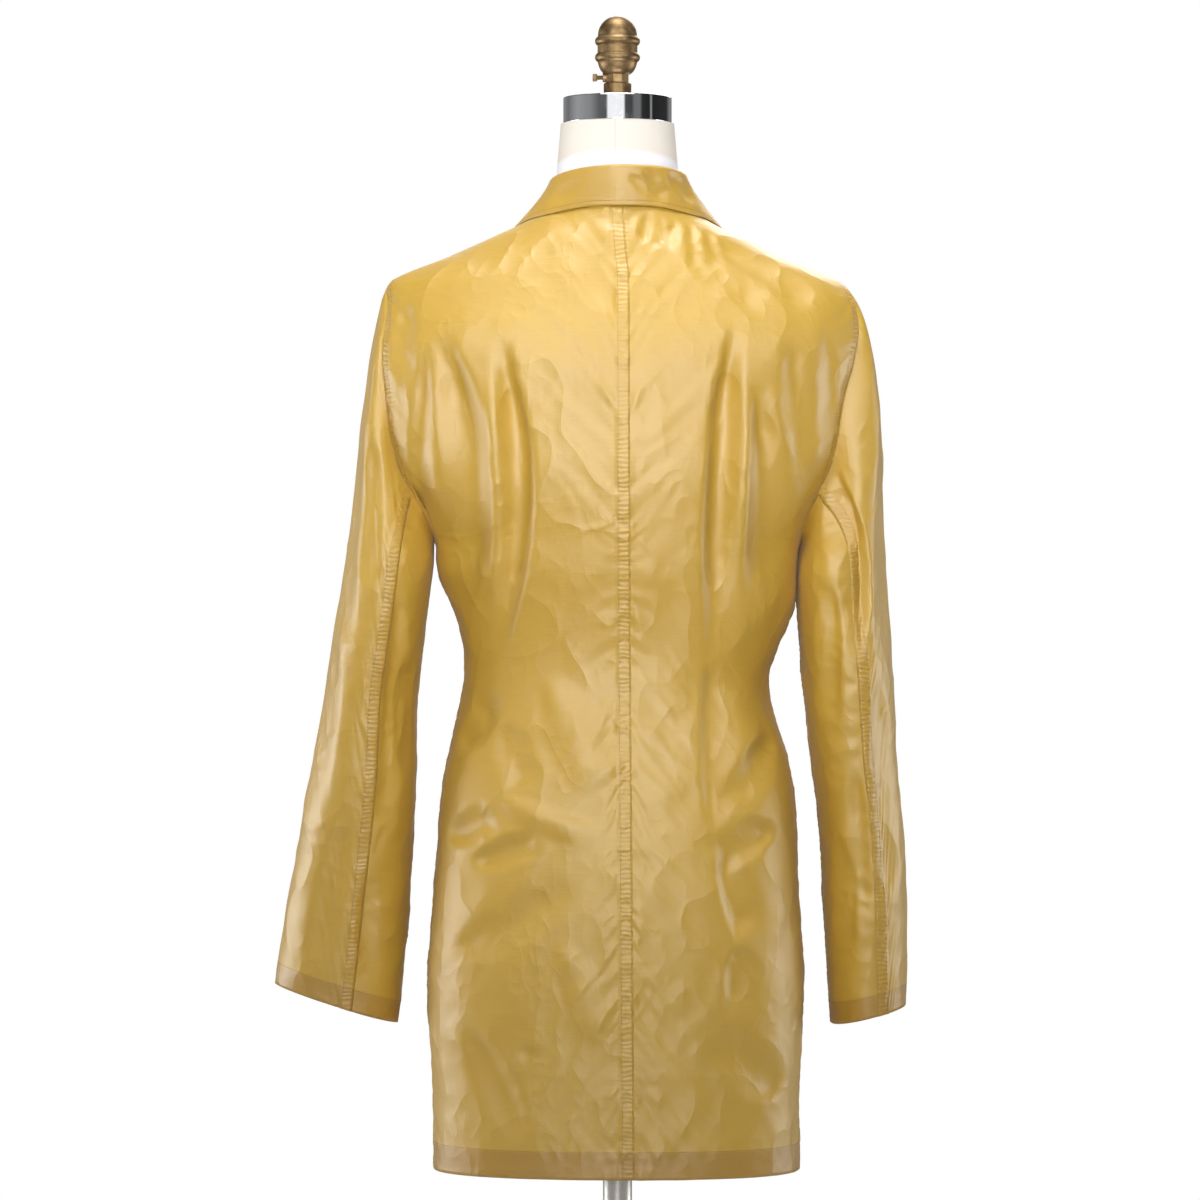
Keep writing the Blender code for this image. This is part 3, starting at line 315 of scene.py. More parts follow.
# Creases as seen square on from behind or in front: the line of the deepest place as (x, z)
# points from its narrow tip, the width of the side next to the centre line, which is the steep
# one, the width of the side away from it, and the depth. In a crease that runs mostly level,
# the first width is that of the side below and the second that of the side above. A ridge has
# a negative depth.
BACK_CREASES = (
    # the long ones beside the shoulder blades
    (((0.0943, 1.290), (0.0918, 1.250), (0.0851, 1.210), (0.0815, 1.175), (0.0812, 1.140),
      (0.0842, 1.105), (0.0901, 1.072), (0.0985, 1.035), (0.1020, 0.990)), 0.0090, 0.0270, 0.0130),
    (((-0.0985, 1.300), (-0.0926, 1.258), (-0.0885, 1.230), (-0.0860, 1.200), (-0.0850, 1.165),
      (-0.0825, 1.130), (-0.0817, 1.090), (-0.0825, 1.040), (-0.0792, 0.985)),
     0.0090, 0.0240, 0.0125),
    # beside them, towards the armholes
    (((0.1487, 1.292), (0.1370, 1.245), (0.1275, 1.200), (0.1240, 1.160), (0.1236, 1.118),
      (0.1278, 1.076), (0.1300, 1.030)), 0.0190, 0.0330, 0.0120),
    (((-0.1150, 1.245), (-0.1215, 1.200), (-0.1244, 1.160), (-0.1244, 1.125), (-0.1211, 1.090),
      (-0.1161, 1.045)), 0.0140, 0.0260, 0.0105),
    (((-0.1430, 1.285), (-0.1500, 1.230), (-0.1529, 1.186), (-0.1487, 1.140)),
     0.0130, 0.0170, 0.0045),
    (((0.1620, 1.275), (0.1655, 1.211), (0.1672, 1.160), (0.1600, 1.118)), 0.0100, 0.0090, 0.0045),
    (((-0.1740, 1.290), (-0.1790, 1.240), (-0.1740, 1.185)), 0.0070, 0.0080, 0.0025),
    (((0.1760, 1.315), (0.1820, 1.280), (0.1780, 1.240)), 0.0090, 0.0100, 0.0035),
    # the gathers below the collar and the pull over the right shoulder
    (((-0.0272, 1.3900), (-0.0225, 1.3740), (-0.0200, 1.3640)), 0.0050, 0.0050, 0.0024),
    (((-0.0385, 1.3850), (-0.0350, 1.3690), (-0.0330, 1.3580)), 0.0050, 0.0050, 0.0022),
    (((-0.0520, 1.3830), (-0.0440, 1.3680), (-0.0400, 1.3560)), 0.0060, 0.0060, 0.0028),
    (((-0.0620, 1.3810), (-0.0640, 1.3640), (-0.0670, 1.3460)), 0.0060, 0.0050, 0.0028),
    (((-0.0742, 1.3760), (-0.0800, 1.3560), (-0.0860, 1.3400)), 0.0060, 0.0060, 0.0026),
    (((-0.0700, 1.3700), (-0.1100, 1.3440), (-0.1450, 1.3240), (-0.1720, 1.3050)),
     0.0140, 0.0160, 0.0040),
    (((-0.0500, 1.3560), (-0.0900, 1.3300), (-0.1300, 1.3020)), 0.0120, 0.0160, 0.0030),
    # the waist and below
    (((0.1460, 0.855), (0.1240, 0.868), (0.1035, 0.880)), 0.0130, 0.0160, 0.0050),
    (((0.1230, 0.836), (0.0950, 0.848), (0.0633, 0.858)), 0.0120, 0.0120, 0.0060),
    (((0.1400, 0.935), (0.1180, 0.950), (0.1040, 0.985)), 0.0100, 0.0150, 0.0050),
    (((0.0980, 0.960), (0.0850, 0.925), (0.0760, 0.900)), 0.0150, 0.0200, 0.0040),
    (((-0.1380, 0.868), (-0.1080, 0.852), (-0.0809, 0.835)), 0.0100, 0.0260, 0.0060),
    (((-0.1330, 0.950), (-0.1130, 0.915), (-0.0960, 0.880)), 0.0130, 0.0200, 0.0060),
    (((-0.0760, 1.010), (-0.0785, 0.965), (-0.0790, 0.905), (-0.0840, 0.860)),
     0.0070, 0.0280, 0.0060),
    (((-0.0860, 0.850), (-0.0960, 0.805), (-0.1080, 0.772)), 0.0070, 0.0260, 0.0055),
    (((-0.1040, 0.768), (-0.0980, 0.745), (-0.0950, 0.705)), 0.0060, 0.0240, 0.0040),
    (((0.1280, 0.700), (0.1090, 0.672), (0.0930, 0.640), (0.0790, 0.600)), 0.0090, 0.0240, 0.0055),
    (((0.0820, 0.683), (0.0700, 0.672)), 0.0060, 0.0060, 0.0025),
    (((0.1420, 0.760), (0.1100, 0.775), (0.0700, 0.800), (0.0400, 0.830)), 0.0200, 0.0220, 0.0035),
    (((-0.1400, 0.640), (-0.1150, 0.660), (-0.0850, 0.700)), 0.0180, 0.0240, 0.0040),
    # rises between them
    (((0.1040, 1.262), (0.1030, 1.190), (0.1030, 1.100), (0.1090, 1.030)), 0.0070, 0.0070, -0.0028),
    (((-0.1060, 1.250), (-0.1050, 1.160), (-0.1020, 1.080)), 0.0070, 0.0070, -0.0028),
    (((0.1035, 0.892), (0.0767, 0.882), (0.0465, 0.870), (0.0100, 0.860)), 0.0110, 0.0110, -0.0035),
    (((0.0600, 1.000), (0.0320, 0.940), (0.0100, 0.900)), 0.0250, 0.0250, -0.0040),
    (((0.0500, 0.780), (0.0250, 0.720), (0.0100, 0.690)), 0.0180, 0.0180, -0.0025),
)
SLEEVE_CREASES = {
    "left": (
        (((0.2190, 1.230), (0.2270, 1.150), (0.2320, 1.080), (0.2380, 1.000)),
         0.0100, 0.0130, 0.0045),
        (((0.2060, 1.200), (0.2090, 1.130), (0.2120, 1.060)), 0.0080, 0.0090, 0.0040),
        (((0.2430, 1.040), (0.2500, 0.960), (0.2620, 0.870)), 0.0110, 0.0140, 0.0040),
        (((0.1850, 1.080), (0.1880, 1.000), (0.1950, 0.920), (0.2020, 0.850)),
         0.0080, 0.0100, 0.0050),
        (((0.1760, 1.020), (0.1800, 0.960), (0.1790, 0.900)), 0.0060, 0.0070, 0.0035),
        (((0.2300, 0.880), (0.2450, 0.810), (0.2580, 0.740)), 0.0100, 0.0160, 0.0035),
        (((0.2120, 0.830), (0.2150, 0.780), (0.2140, 0.730)), 0.0080, 0.0090, 0.0030),
    ),
    "right": (
        (((-0.1800, 1.180), (-0.1980, 1.135), (-0.2080, 1.095), (-0.2080, 1.050),
          (-0.2030, 1.000)), 0.0280, 0.0045, 0.0100),
        (((-0.1780, 1.080), (-0.1800, 1.010), (-0.1790, 0.940)), 0.0080, 0.0100, 0.0045),
        (((-0.2270, 1.220), (-0.2300, 1.140), (-0.2290, 1.060), (-0.2300, 0.990)),
         0.0100, 0.0100, 0.0045),
        (((-0.2210, 1.000), (-0.2260, 0.930), (-0.2290, 0.850), (-0.2310, 0.780)),
         0.0110, 0.0110, 0.0045),
        (((-0.2000, 0.920), (-0.2060, 0.850), (-0.2080, 0.780)), 0.0090, 0.0100, 0.0040),
        (((-0.1900, 0.860), (-0.1960, 0.800), (-0.1950, 0.740)), 0.0070, 0.0080, 0.0030),
    ),
}
COLLAR_CREASES = (
    (((-0.0217, 1.4300), (-0.0330, 1.4120), (-0.0440, 1.4000)), 0.0050, 0.0060, 0.0026),
    (((-0.0080, 1.4220), (-0.0240, 1.4080), (-0.0420, 1.3960)), 0.0040, 0.0050, 0.0016),
    (((-0.0420, 1.4270), (-0.0560, 1.4120), (-0.0690, 1.3970)), 0.0060, 0.0070, 0.0030),
    (((0.0300, 1.4180), (0.0420, 1.4080), (0.0560, 1.4000)), 0.0050, 0.0060, 0.0014),
)
FRONT_CREASES = (
    (((0.1100, 1.200), (0.0950, 1.120), (0.0870, 1.030), (0.0850, 0.940)), 0.0160, 0.0220, 0.0060),
    (((-0.1150, 1.190), (-0.1000, 1.110), (-0.0900, 1.020), (-0.0800, 0.930)),
     0.0150, 0.0220, 0.0060),
    (((0.1300, 0.960), (0.1080, 0.880), (0.0990, 0.790), (0.1000, 0.700)), 0.0180, 0.0200, 0.0045),
    (((-0.1250, 0.940), (-0.1080, 0.860), (-0.0980, 0.780), (-0.0950, 0.680)),
     0.0180, 0.0200, 0.0050),
)


# ---------------------------------------------------------------- curves and the coat's form

def curve(xs, ys, x):
    """The natural cubic spline through the points (xs, ys), read at x."""
    x = np.asarray(x, float)
    step = np.diff(xs)
    slope = np.diff(ys) / step
    bend = np.zeros(len(xs))
    system = (np.diag(2 * (step[:-1] + step[1:])) + np.diag(step[1:-1], 1)
              + np.diag(step[1:-1], -1))
    bend[1:-1] = np.linalg.solve(system, 6 * np.diff(slope))
    i = np.clip(np.searchsorted(xs, x, side="right") - 1, 0, len(step) - 1)
    before, after = xs[i + 1] - x, x - xs[i]
    cubic = (bend[i] * before**3 + bend[i + 1] * after**3) / (6 * step[i])
    linear = ((ys[i] / step[i] - bend[i] * step[i] / 6) * before
              + (ys[i + 1] / step[i] - bend[i + 1] * step[i] / 6) * after)
    return cubic + linear


def smooth(t):
    """An even step from 0 to 1."""
    t = np.clip(t, 0.0, 1.0)
    return t * t * (3 - 2 * t)


def side_name(side):
    return "left" if side > 0 else "right"


def signed_power(value, power):
    return np.sign(value) * np.abs(value) ** power


def unit(vectors):
    return vectors / np.maximum(np.linalg.norm(vectors, axis=-1, keepdims=True), 1e-12)


def run_length(points):
    """The length along a line from its first point to each of its points."""
    return np.concatenate(([0.0], np.cumsum(np.linalg.norm(np.diff(points, axis=0), axis=1))))


def points_at(places, known, points):
    """The points at these places of a line whose own points lie at the known places."""
    return np.stack([np.interp(places, known, points[:, axis]) for axis in range(3)], axis=-1)


def noise(u, v, seed):
    """Smooth random values from -1 to 1 over the plane, with one cell to a unit."""
    lattice = np.random.default_rng(seed).uniform(-1.0, 1.0, (128, 128))
    u, v = np.broadcast_arrays(np.asarray(u, float), np.asarray(v, float))
    i, j = np.floor(u).astype(int), np.floor(v).astype(int)
    a, b = smooth(u - i), smooth(v - j)
    i0, i1, j0, j1 = i % 128, (i + 1) % 128, j % 128, (j + 1) % 128
    low = lattice[i0, j0] * (1 - a) + lattice[i1, j0] * a
    high = lattice[i0, j1] * (1 - a) + lattice[i1, j1] * a
    return low * (1 - b) + high * b


def ridged(u, v, seed):
    """A loose net of thin sharp rises, 1 along their tops and 0 between them."""
    line = np.clip(1 - np.abs(noise(u, v, seed)) / 0.16, 0.0, 1.0)
    return line * np.clip(noise(u * 0.7 + 9.0, v * 0.7, seed + 7) * 2.0, 0.0, 1.0)


def section(sections, half_column, turn, z):
    """A point of a level section: turn 0 at the side, 90 at the centre back, -90 in front."""
    half = curve(sections["z"], sections[half_column], z)
    back = curve(sections["z"], sections["back"], z)
    front = curve(sections["z"], sections["front"], z)
    power = 2.0 / curve(sections["z"], sections["square"], z)
    angle = np.radians(turn)
    across = signed_power(np.cos(angle), power)
    along = signed_power(np.sin(angle), power)
    return half * across, np.where(along > 0, back, front) * along, across


def coat_point(side, turn, z):
    """A point of the coat's body on its left (side 1) or right (side -1)."""
    turn, z = np.broadcast_arrays(np.asarray(turn, float), np.asarray(z, float))
    x, y, across = section(COAT, side_name(side), turn, z)
    seam = curve(CENTRE_BACK["z"], CENTRE_BACK["x"], z)
    shift = np.where(y > 0, seam * (1 - across**2), 0.0)
    return np.stack([side * x + shift, y, z], axis=-1)


def coat_normal(side, turn, z):
    """The outward normal of the coat's body."""
    turn_step, z_step = 0.4, 0.001
    round_it = coat_point(side, turn + turn_step, z) - coat_point(side, turn - turn_step, z)
    up_it = coat_point(side, turn, z + z_step) - coat_point(side, turn, z - z_step)
    normal = unit(np.cross(up_it, round_it))
    outward = normal[..., :2] * coat_point(side, turn, z)[..., :2]
    return normal * np.sign(outward.sum(axis=-1, keepdims=True))


def turn_at_x(side, x, z):
    """The turn at which the front's section reaches x."""
    half = curve(COAT["z"], COAT[side_name(side)], z)
    power = 2.0 / curve(COAT["z"], COAT["square"], z)
    return -np.degrees(np.arccos(signed_power(side * x / half, 1 / power)))


def turn_at_depth(y, z, column):
    """The turn at which the section reaches y behind or in front of the axis."""
    power = 2.0 / curve(COAT["z"], COAT["square"], z)
    return np.degrees(np.arcsin((y / curve(COAT["z"], COAT[column], z)) ** (1 / power)))


def spaced(line, count, end_share):
    """count + 1 places along a line, as fractions of its point numbers, closer at its ends."""
    length = run_length(line)
    t = np.linspace(0.0, 1.0, count + 1)
    t = t - (1 - end_share) * np.sin(2 * np.pi * t) / (2 * np.pi)
    return np.interp(t * length[-1], length, np.linspace(0.0, 1.0, len(line)))


def crease_depth(creases, across, along):
    """How far the creases press in the points that lie at (across, along) in their plane."""
    depth = np.zeros_like(across)
    steps = np.linspace(0.0, 1.0, 41)
    for points, near, far, deep in creases:
        points = np.array(points)
        stations = np.linspace(0.0, 1.0, len(points))
        path = np.stack([curve(stations, points[:, 0], steps),
                         curve(stations, points[:, 1], steps)], axis=-1)
        reach = max(near, far)
        inside = ((across > path[:, 0].min() - reach) & (across < path[:, 0].max() + reach)
                  & (along > path[:, 1].min() - reach) & (along < path[:, 1].max() + reach))
        if not inside.any():
            continue
        here = np.stack([across[inside], along[inside]], axis=-1)[:, None]
        run = np.diff(path, axis=0)
        reached = ((here - path[:-1]) * run).sum(axis=-1) / (run * run).sum(axis=-1)
        gap = np.linalg.norm(here - path[:-1] - run * np.clip(reached, 0, 1)[..., None], axis=-1)
        nearest = gap.argmin(axis=1)
        rows = np.arange(len(nearest))
        t = (nearest + np.clip(reached[rows, nearest], 0, 1)) / len(run)
        way = unit(run)[nearest]
        turned_away = (way[:, 1] * (here[:, 0, 0] - path[nearest, 0])
                       - way[:, 0] * (here[:, 0, 1] - path[nearest, 1]))
        level = abs(points[-1, 1] - points[0, 1]) < abs(points[-1, 0] - points[0, 0])
        sign = np.sign(points[:, 0].mean()) * -np.sign(points[-1, 1] - points[0, 1])
        if level:
            sign = np.sign(points[-1, 0] - points[0, 0])
        away = -turned_away * sign
        taper = 0.35 + 0.65 * smooth(t / 0.40)
        rounded = np.hypot(gap[rows, nearest], CREASE_RADIUS) - CREASE_RADIUS
        steep = np.clip(1 - rounded / (near * taper), 0.0, 1.0)
        soft = smooth(1 - rounded / (far * taper))
        shape = steep + (soft - steep) * smooth(0.5 + away / (2 * gap[rows, nearest] + 1e-6))
        fade = smooth(t / 0.22) * smooth((1 - t) / 0.30)
        depth[inside] += deep * fade * shape
    return depth


def roll_x(side, z):
    """The front edge and, above the break, the lapel's fold, as x."""
    climb = np.clip((z - BREAK_Z) / (ROLL_TOP_Z - BREAK_Z), 0.0, 1.0)
    return side * (-OVERLAP + (OVERLAP + ROLL_TOP_X) * climb)


def neckline_z(turn):
    """The height of the line that the collar is sewn to."""
    back = NECK_SIDE_Z + (NECK_BACK_Z - NECK_SIDE_Z) * np.sin(np.radians(turn))**2
    front_end = turn_at_x(1, ROLL_TOP_X, ROLL_TOP_Z)
    front = NECK_SIDE_Z + (ROLL_TOP_Z - NECK_SIDE_Z) * smooth(turn / front_end)
    return np.where(turn >= 0, back, front)


def levels():
    """The rows' outer heights, and how far each row has climbed from shoulder to neck."""
    skirt = np.linspace(HEM_Z, UNDERARM_Z, SKIRT_ROWS + 1)
    swing = np.linspace(math.pi, 0.0, ARMHOLE_ROWS + 1)[1:]
    even = np.linspace(0.0, 1.0, ARMHOLE_ROWS + 1)[1:]
    armhole = UNDERARM_Z + (SHOULDER_Z - UNDERARM_Z) * (0.375 * (1 + np.cos(swing)) + 0.25 * even)
    climb = np.linspace(0.0, 1.0, SHOULDER_ROWS + 1)[1:]
    heights = np.concatenate((skirt, armhole, np.full(SHOULDER_ROWS, SHOULDER_Z)))
    return heights, np.concatenate((np.zeros(len(skirt) + len(armhole)), climb))


def armhole_turn(z, reach, column):
    """The turn of the armhole's seam at a height, 0 at the shoulder and the underarm."""
    middle = (UNDERARM_Z + SHOULDER_Z) / 2
    half = (SHOULDER_Z - UNDERARM_Z) / 2
    swing = np.sqrt(np.clip(1 - ((z - middle) / half)**2, 0.0, 1.0))
    return turn_at_depth(reach * swing**0.85, z, column)


def lap_lift(side, x, z):
    """How far the right front lies off the body where it laps over the left one."""
    near_centre = smooth((x - LAP_START_X) / LAP_START_WIDTH)
    lift = LAP_LIFT * near_centre * (1 - smooth((z - LEFT_BREAK_Z) / LAP_FADE_Z))
    return lift if side < 0 else np.zeros_like(lift)


# ---------------------------------------------------------------- sheets

def lengths(grid, axis):
    """The length along rows (axis 1) or columns (axis 0) of a grid, from its first point."""
    steps = np.linalg.norm(np.diff(grid, axis=axis), axis=-1)
    pad = [(0, 0), (0, 0)]
    pad[axis] = (1, 0)
    return np.pad(np.cumsum(steps, axis=axis), pad)


def grid_normals(grid, outward):
    """The normals of a grid, on the side that outward points to."""
    normal = unit(np.cross(np.gradient(grid, axis=0), np.gradient(grid, axis=1)))
    flip = np.sign((normal * outward).sum(axis=-1).mean())
    return normal * (flip if flip else 1.0)


def puckers(along, off, seed, pitch, slant, reach, height):
    """Small folds across a seam: along it, off it, and slanting by slant metres a metre."""
    s = along + slant * off
    phase = 2 * np.pi * (s / pitch + 0.9 * noise(s / 0.028, off / 0.03, seed))
    strength = 0.35 + 0.65 * np.abs(noise(along / 0.035, 0.0 * off, seed + 1))
    return height * np.sin(phase) * strength * np.exp(-np.abs(off) / reach)


def body_place(side, back, z, climb):
    """Turns and heights of a body row, from its outer end to its inner one."""
    in_armhole = UNDERARM_Z < z < SHOULDER_Z
    lap = LAP * float(smooth((UNDERARM_Z - SEAM_END - z) / SEAM_FADE))
    if back:
        outer = (float(armhole_turn(z, ARMHOLE_BACK, "back")) if in_armhole
                 else -float(turn_at_depth(lap, z, "front")) if lap > 0 else 0.0)
        half = float(curve(COAT["z"], COAT[side_name(side)], z))
        power = 2.0 / float(curve(COAT["z"], COAT["square"], z))
        past = LAP if side > 0 else -LAP * 0.7
        share = (past * (1 - climb * 0.25) / half) ** (1 / power) if past > 0 else 0.0
        inner = 90.0 + math.degrees(math.asin(share)) if past > 0 else 90.0
    else:
        outer = -float(armhole_turn(z, ARMHOLE_FRONT, "front")) if in_armhole else 0.0
        inner_z = z + climb * (ROLL_TOP_Z - z)
        inner = float(turn_at_x(side, roll_x(side, inner_z), inner_z))
    turns = np.linspace(outer, inner, BODY_PLACES)
    heights = z + climb * (neckline_z(np.minimum(turns, 90.0)) - z)
    return turns, heights


def body_sheet(side, back):
    """A body piece's grid on the coat's plain form, its turns and its heights."""
    turn_rows, height_rows = [], []
    for z, climb in zip(*levels()):
        turns, heights = body_place(side, back, z, climb)
        places = spaced(coat_point(side, turns, heights), BODY_COLUMNS, END_SHARE)
        spread = np.linspace(0.0, 1.0, len(turns))
        turn_rows.append(np.interp(places, spread, turns))
        height_rows.append(np.interp(places, spread, heights))
    turns, heights = np.array(turn_rows), np.array(height_rows)
    return coat_point(side, turns, heights), turns, heights


def crinkle(grid, seed):
    """The cloth's own slight unevenness, long soft bends and fine short ones."""
    x, y, z = grid[..., 0], grid[..., 1], grid[..., 2]
    around = x + 0.8 * y
    soft = (0.0008 * noise(around / 0.045, z / 0.075, seed)
            + 0.00040 * noise(around / 0.020 + z / 0.03, z / 0.030, seed + 1))
    sharp = (0.00055 * ridged(around / 0.030 + z / 0.05, z / 0.055, seed + 2)
             + 0.00035 * ridged(around / 0.022 - z / 0.03, z / 0.026, seed + 3))
    return soft + sharp


def band(distance, depth):
    """1 within a band along an edge and 0 past it."""
    return 1 - smooth((distance - depth + 0.0006) / 0.0012)


def lapped(off):
    """The lift of a felled seam's upper cloth over the lower one, down again at its edge."""
    return LAP_RISE * smooth((0.0125 - off) / 0.002) - 0.0005 * np.exp(-(off / 0.0011)**2)


def ladder(along, off, seed, pitch, height):
    """The puckers that two stitch lines draw across a felled seam, off from its upper edge."""
    phase = 2 * np.pi * (along / pitch + 0.8 * noise(along / 0.030, 0.0 * off, seed) + 12.0 * off)
    strength = 0.45 + 0.55 * np.abs(noise(along / 0.04, 0.0 * off, seed + 1))
    wide = smooth(off / 0.0028) * np.exp(-np.maximum(off - 0.0075, 0.0) / 0.006)
    return height * np.sin(phase) * strength * wide


def drawn_up(off):
    """How far a felled seam's two stitch lines draw the cloth up, off from its upper edge."""
    beyond = np.maximum(np.maximum(off - FELL_LINES[1], FELL_LINES[0] - off), 0.0)
    return np.where(beyond > 0, 0.35 * np.exp(-beyond / 0.004), 1.0)


def above_waist(z):
    """0 below the place where the centre seam's pulls turn upward, and 1 above it."""
    return smooth((z - DRAG_Z) / DRAG_FADE)


def below_underarm(z):
    return smooth((UNDERARM_Z - z) / SEAM_FADE)


def drag(seam, z, seed):
    """Long slanting pulls that fan out from the centre back, upward above the waist."""
    upper = above_waist(z)
    slant = 1.25 - 2.2 * upper
    s = z + slant * seam
    wave = noise(s / 0.021, seam / 0.070, seed) + 0.55 * noise(s / 0.011, seam / 0.045, seed + 1)
    reach = 0.045 + 0.03 * (1 - upper)
    return 0.0014 * wave * smooth((seam - 0.004) / 0.008) * np.exp(-np.abs(seam) / reach)


def armhole_rise(z, off):
    """The armhole's edge, pressed down on the sleeve's turnings and puckered by its stitches."""
    beside = (smooth((z - UNDERARM_Z - SEAM_END) / SEAM_FADE)
              * smooth((SHOULDER_Z - SEAM_END - z) / SEAM_FADE))
    small = ladder(z, off, 28, 0.0062, 0.00040)
    wide = puckers(z, off, 29, 0.019, 0.8, 0.024, 0.00090) * smooth(off / 0.004)
    return (small + wide - 0.0007 * np.exp(-off / 0.003)) * beside


def seam_lines(off, distances, rows):
    """Stitch lines at distances from an edge, in some of a grid's rows."""
    return [(off, distance, rows) for distance in distances]


def back_piece(side):
    """A back's grid, normals, marks, stitch lines and lengths up from its hem."""
    base, turns, heights = body_sheet(side, True)
    normal = coat_normal(side, turns, heights)
    x, y, z = base[..., 0], base[..., 1], base[..., 2]
    off_side = lengths(base, 1)
    off_centre = off_side[:, -1:] - off_side
    behind = smooth(y / 0.05)
    rise = -crease_depth(BACK_CREASES, x, z) * behind
    rise += crinkle(base, BODY_SEED)
    seam = off_centre - (LAP if side > 0 else 0.0)
    slant = 1.1 - 2.2 * above_waist(z)
    edge = off_centre if side > 0 else off_centre + LAP
    rise += ladder(z, edge, 21, 0.0064, 0.00030)
    rise += puckers(z, np.abs(seam), 20, 0.0085, slant, 0.012, 0.00045) * smooth(edge / 0.003)
    rise += puckers(z, np.abs(seam), 22, 0.021, slant, 0.030, 0.00070)
    rise += drag(seam, z, 31 + side)
    low = below_underarm(z)
    rise += ladder(z, off_side, 23 + side, 0.0075, 0.00020) * low
    rise += puckers(z, off_side - LAP, 26 + side, 0.018, 0.9, 0.020, 0.00060) * low
    if side > 0:
        rise += lapped(off_centre)
    rise += lapped(off_side) * low
    rise += armhole_rise(z, off_side)
    hem = lengths(base, 0)
    rise += (puckers(off_side, hem - HEM_DEPTH, 25 + side, 0.0140, 0.5, 0.010, 0.00040)
             * smooth(hem / 0.004))
    # painted shade where the cloth lies double: along the hem, the centre seam and the side seam
    doubled_shade = DOUBLED_SHADE["hem"] * band(hem, HEM_DEPTH)
    doubled_shade = np.maximum(doubled_shade, DOUBLED_SHADE["centre"] * band(np.abs(seam), LAP))
    doubled_shade = np.maximum(doubled_shade, DOUBLED_SHADE["side"] * band(off_side, FELL_DEPTH))
    drawn = np.maximum(drawn_up(edge), drawn_up(off_side))
    marks = np.stack([doubled_shade, drawn], axis=-1)
    grid = base + normal * rise[..., None]
    low_rows = [row for row in range(len(grid)) if heights[row, 0] < UNDERARM_Z - 0.006]
    lines = seam_lines(off_side, FELL_LINES, low_rows)
    if side > 0:
        lines += seam_lines(off_centre, FELL_LINES, range(len(grid)))
    lines += seam_lines(off_side, ARMHOLE_LINES, ARMHOLE_SPAN)
    return grid, normal, marks, lines, hem


def front_piece(side):
    """A front's parts as for a back, and the lapel's rows above the break."""
    base, turns, heights = body_sheet(side, False)
    normal = coat_normal(side, turns, heights)
    x, y, z = base[..., 0], base[..., 1], base[..., 2]
    off_side = lengths(base, 1)
    off_edge = off_side[:, -1:] - off_side
    rise = -crease_depth(FRONT_CREASES, x, z) * smooth(-y / 0.05)
    rise += crinkle(base, BODY_SEED) * smooth(off_edge / 0.02)
    low = below_underarm(z)
    rise += puckers(z, off_side, 26 + side, 0.018, -0.9, 0.020, 0.00060) * low
    rise += armhole_rise(z, off_side)
    rise += lap_lift(side, x, z)
    hem = lengths(base, 0)
    # painted shade where the cloth lies double along the hem
    marks = np.stack([DOUBLED_SHADE["hem"] * band(hem, HEM_DEPTH), drawn_up(off_side)], axis=-1)
    grid = base + normal * rise[..., None]
    break_z = LEFT_BREAK_Z if side > 0 else BREAK_Z
    lapel = []
    for row in range(len(grid)):
        inner_z = heights[row, -1]
        if inner_z <= break_z + 1e-6:
            lapel.append(None)
            continue
        width = float(np.interp(inner_z, LAPEL["z"], LAPEL[side_name(side)]))
        lapel.append(lapel_row(grid[row], normal[row], width))
    lines = seam_lines(off_edge, (EDGE_LINE,), range(len(grid))) if side < 0 else []
    lines += seam_lines(off_side, ARMHOLE_LINES, ARMHOLE_SPAN)
    return grid, normal, marks, lines, hem, lapel


def lapel_row(row, normals, width):
    """The cloth past the lapel's fold: round the fold, then back over the front."""
    inward, roll_normal = unit(row[-1] - row[-2]), normals[-1]
    centre = row[-1] + roll_normal * ROLL_RADIUS
    points = []
    for swing in np.radians(np.linspace(-60.0, 90.0, 7)):
        points.append(centre + ROLL_RADIUS * (inward * math.cos(swing)
                                              + roll_normal * math.sin(swing)))
    length = run_length(row[::-1])
    for share in LAPEL_SHARES:
        at, out = (points_at(width * share, length, line[::-1]) for line in (row, normals))
        belly = 0.0012 * math.sin(math.pi * share)
        points.append(at + unit(out) * (2 * ROLL_RADIUS + belly))
    return points


def ring_edge(side, step):
    """The armhole's edge at places round its ring, and the way across the seam there."""
    swing = np.pi * step / (RING_STEPS / 2)
    z = (UNDERARM_Z + SHOULDER_Z) / 2 + (SHOULDER_Z - UNDERARM_Z) / 2 * np.cos(swing)
    behind = step <= RING_STEPS / 2
    turn = np.where(behind, armhole_turn(z, ARMHOLE_BACK, "back"),
                    -armhole_turn(z, ARMHOLE_FRONT, "front"))
    edge = coat_point(side, turn, z)
    inner = coat_point(side, turn + np.where(behind, 1.0, -1.0), z)
    return edge, unit(edge - inner)


def sleeve_section(side, turns, z):
    """The sleeve's ring of points at the height z of its middle."""
    sections = SLEEVES[side_name(side)]
    outer, inner, y, depth, drop = (curve(sections["z"][::-1], sections[name][::-1], z)
                                    for name in ("outer", "inner", "y", "depth", "drop"))
    swing = np.radians(turns)
    across = signed_power(np.cos(swing), SLEEVE_SQUARE)
    x = (outer + inner) / 2 + (outer - inner) / 2 * across
    return np.stack([side * x, y + depth * signed_power(np.sin(swing), SLEEVE_SQUARE),
                     z + drop / 2 * across], axis=-1)


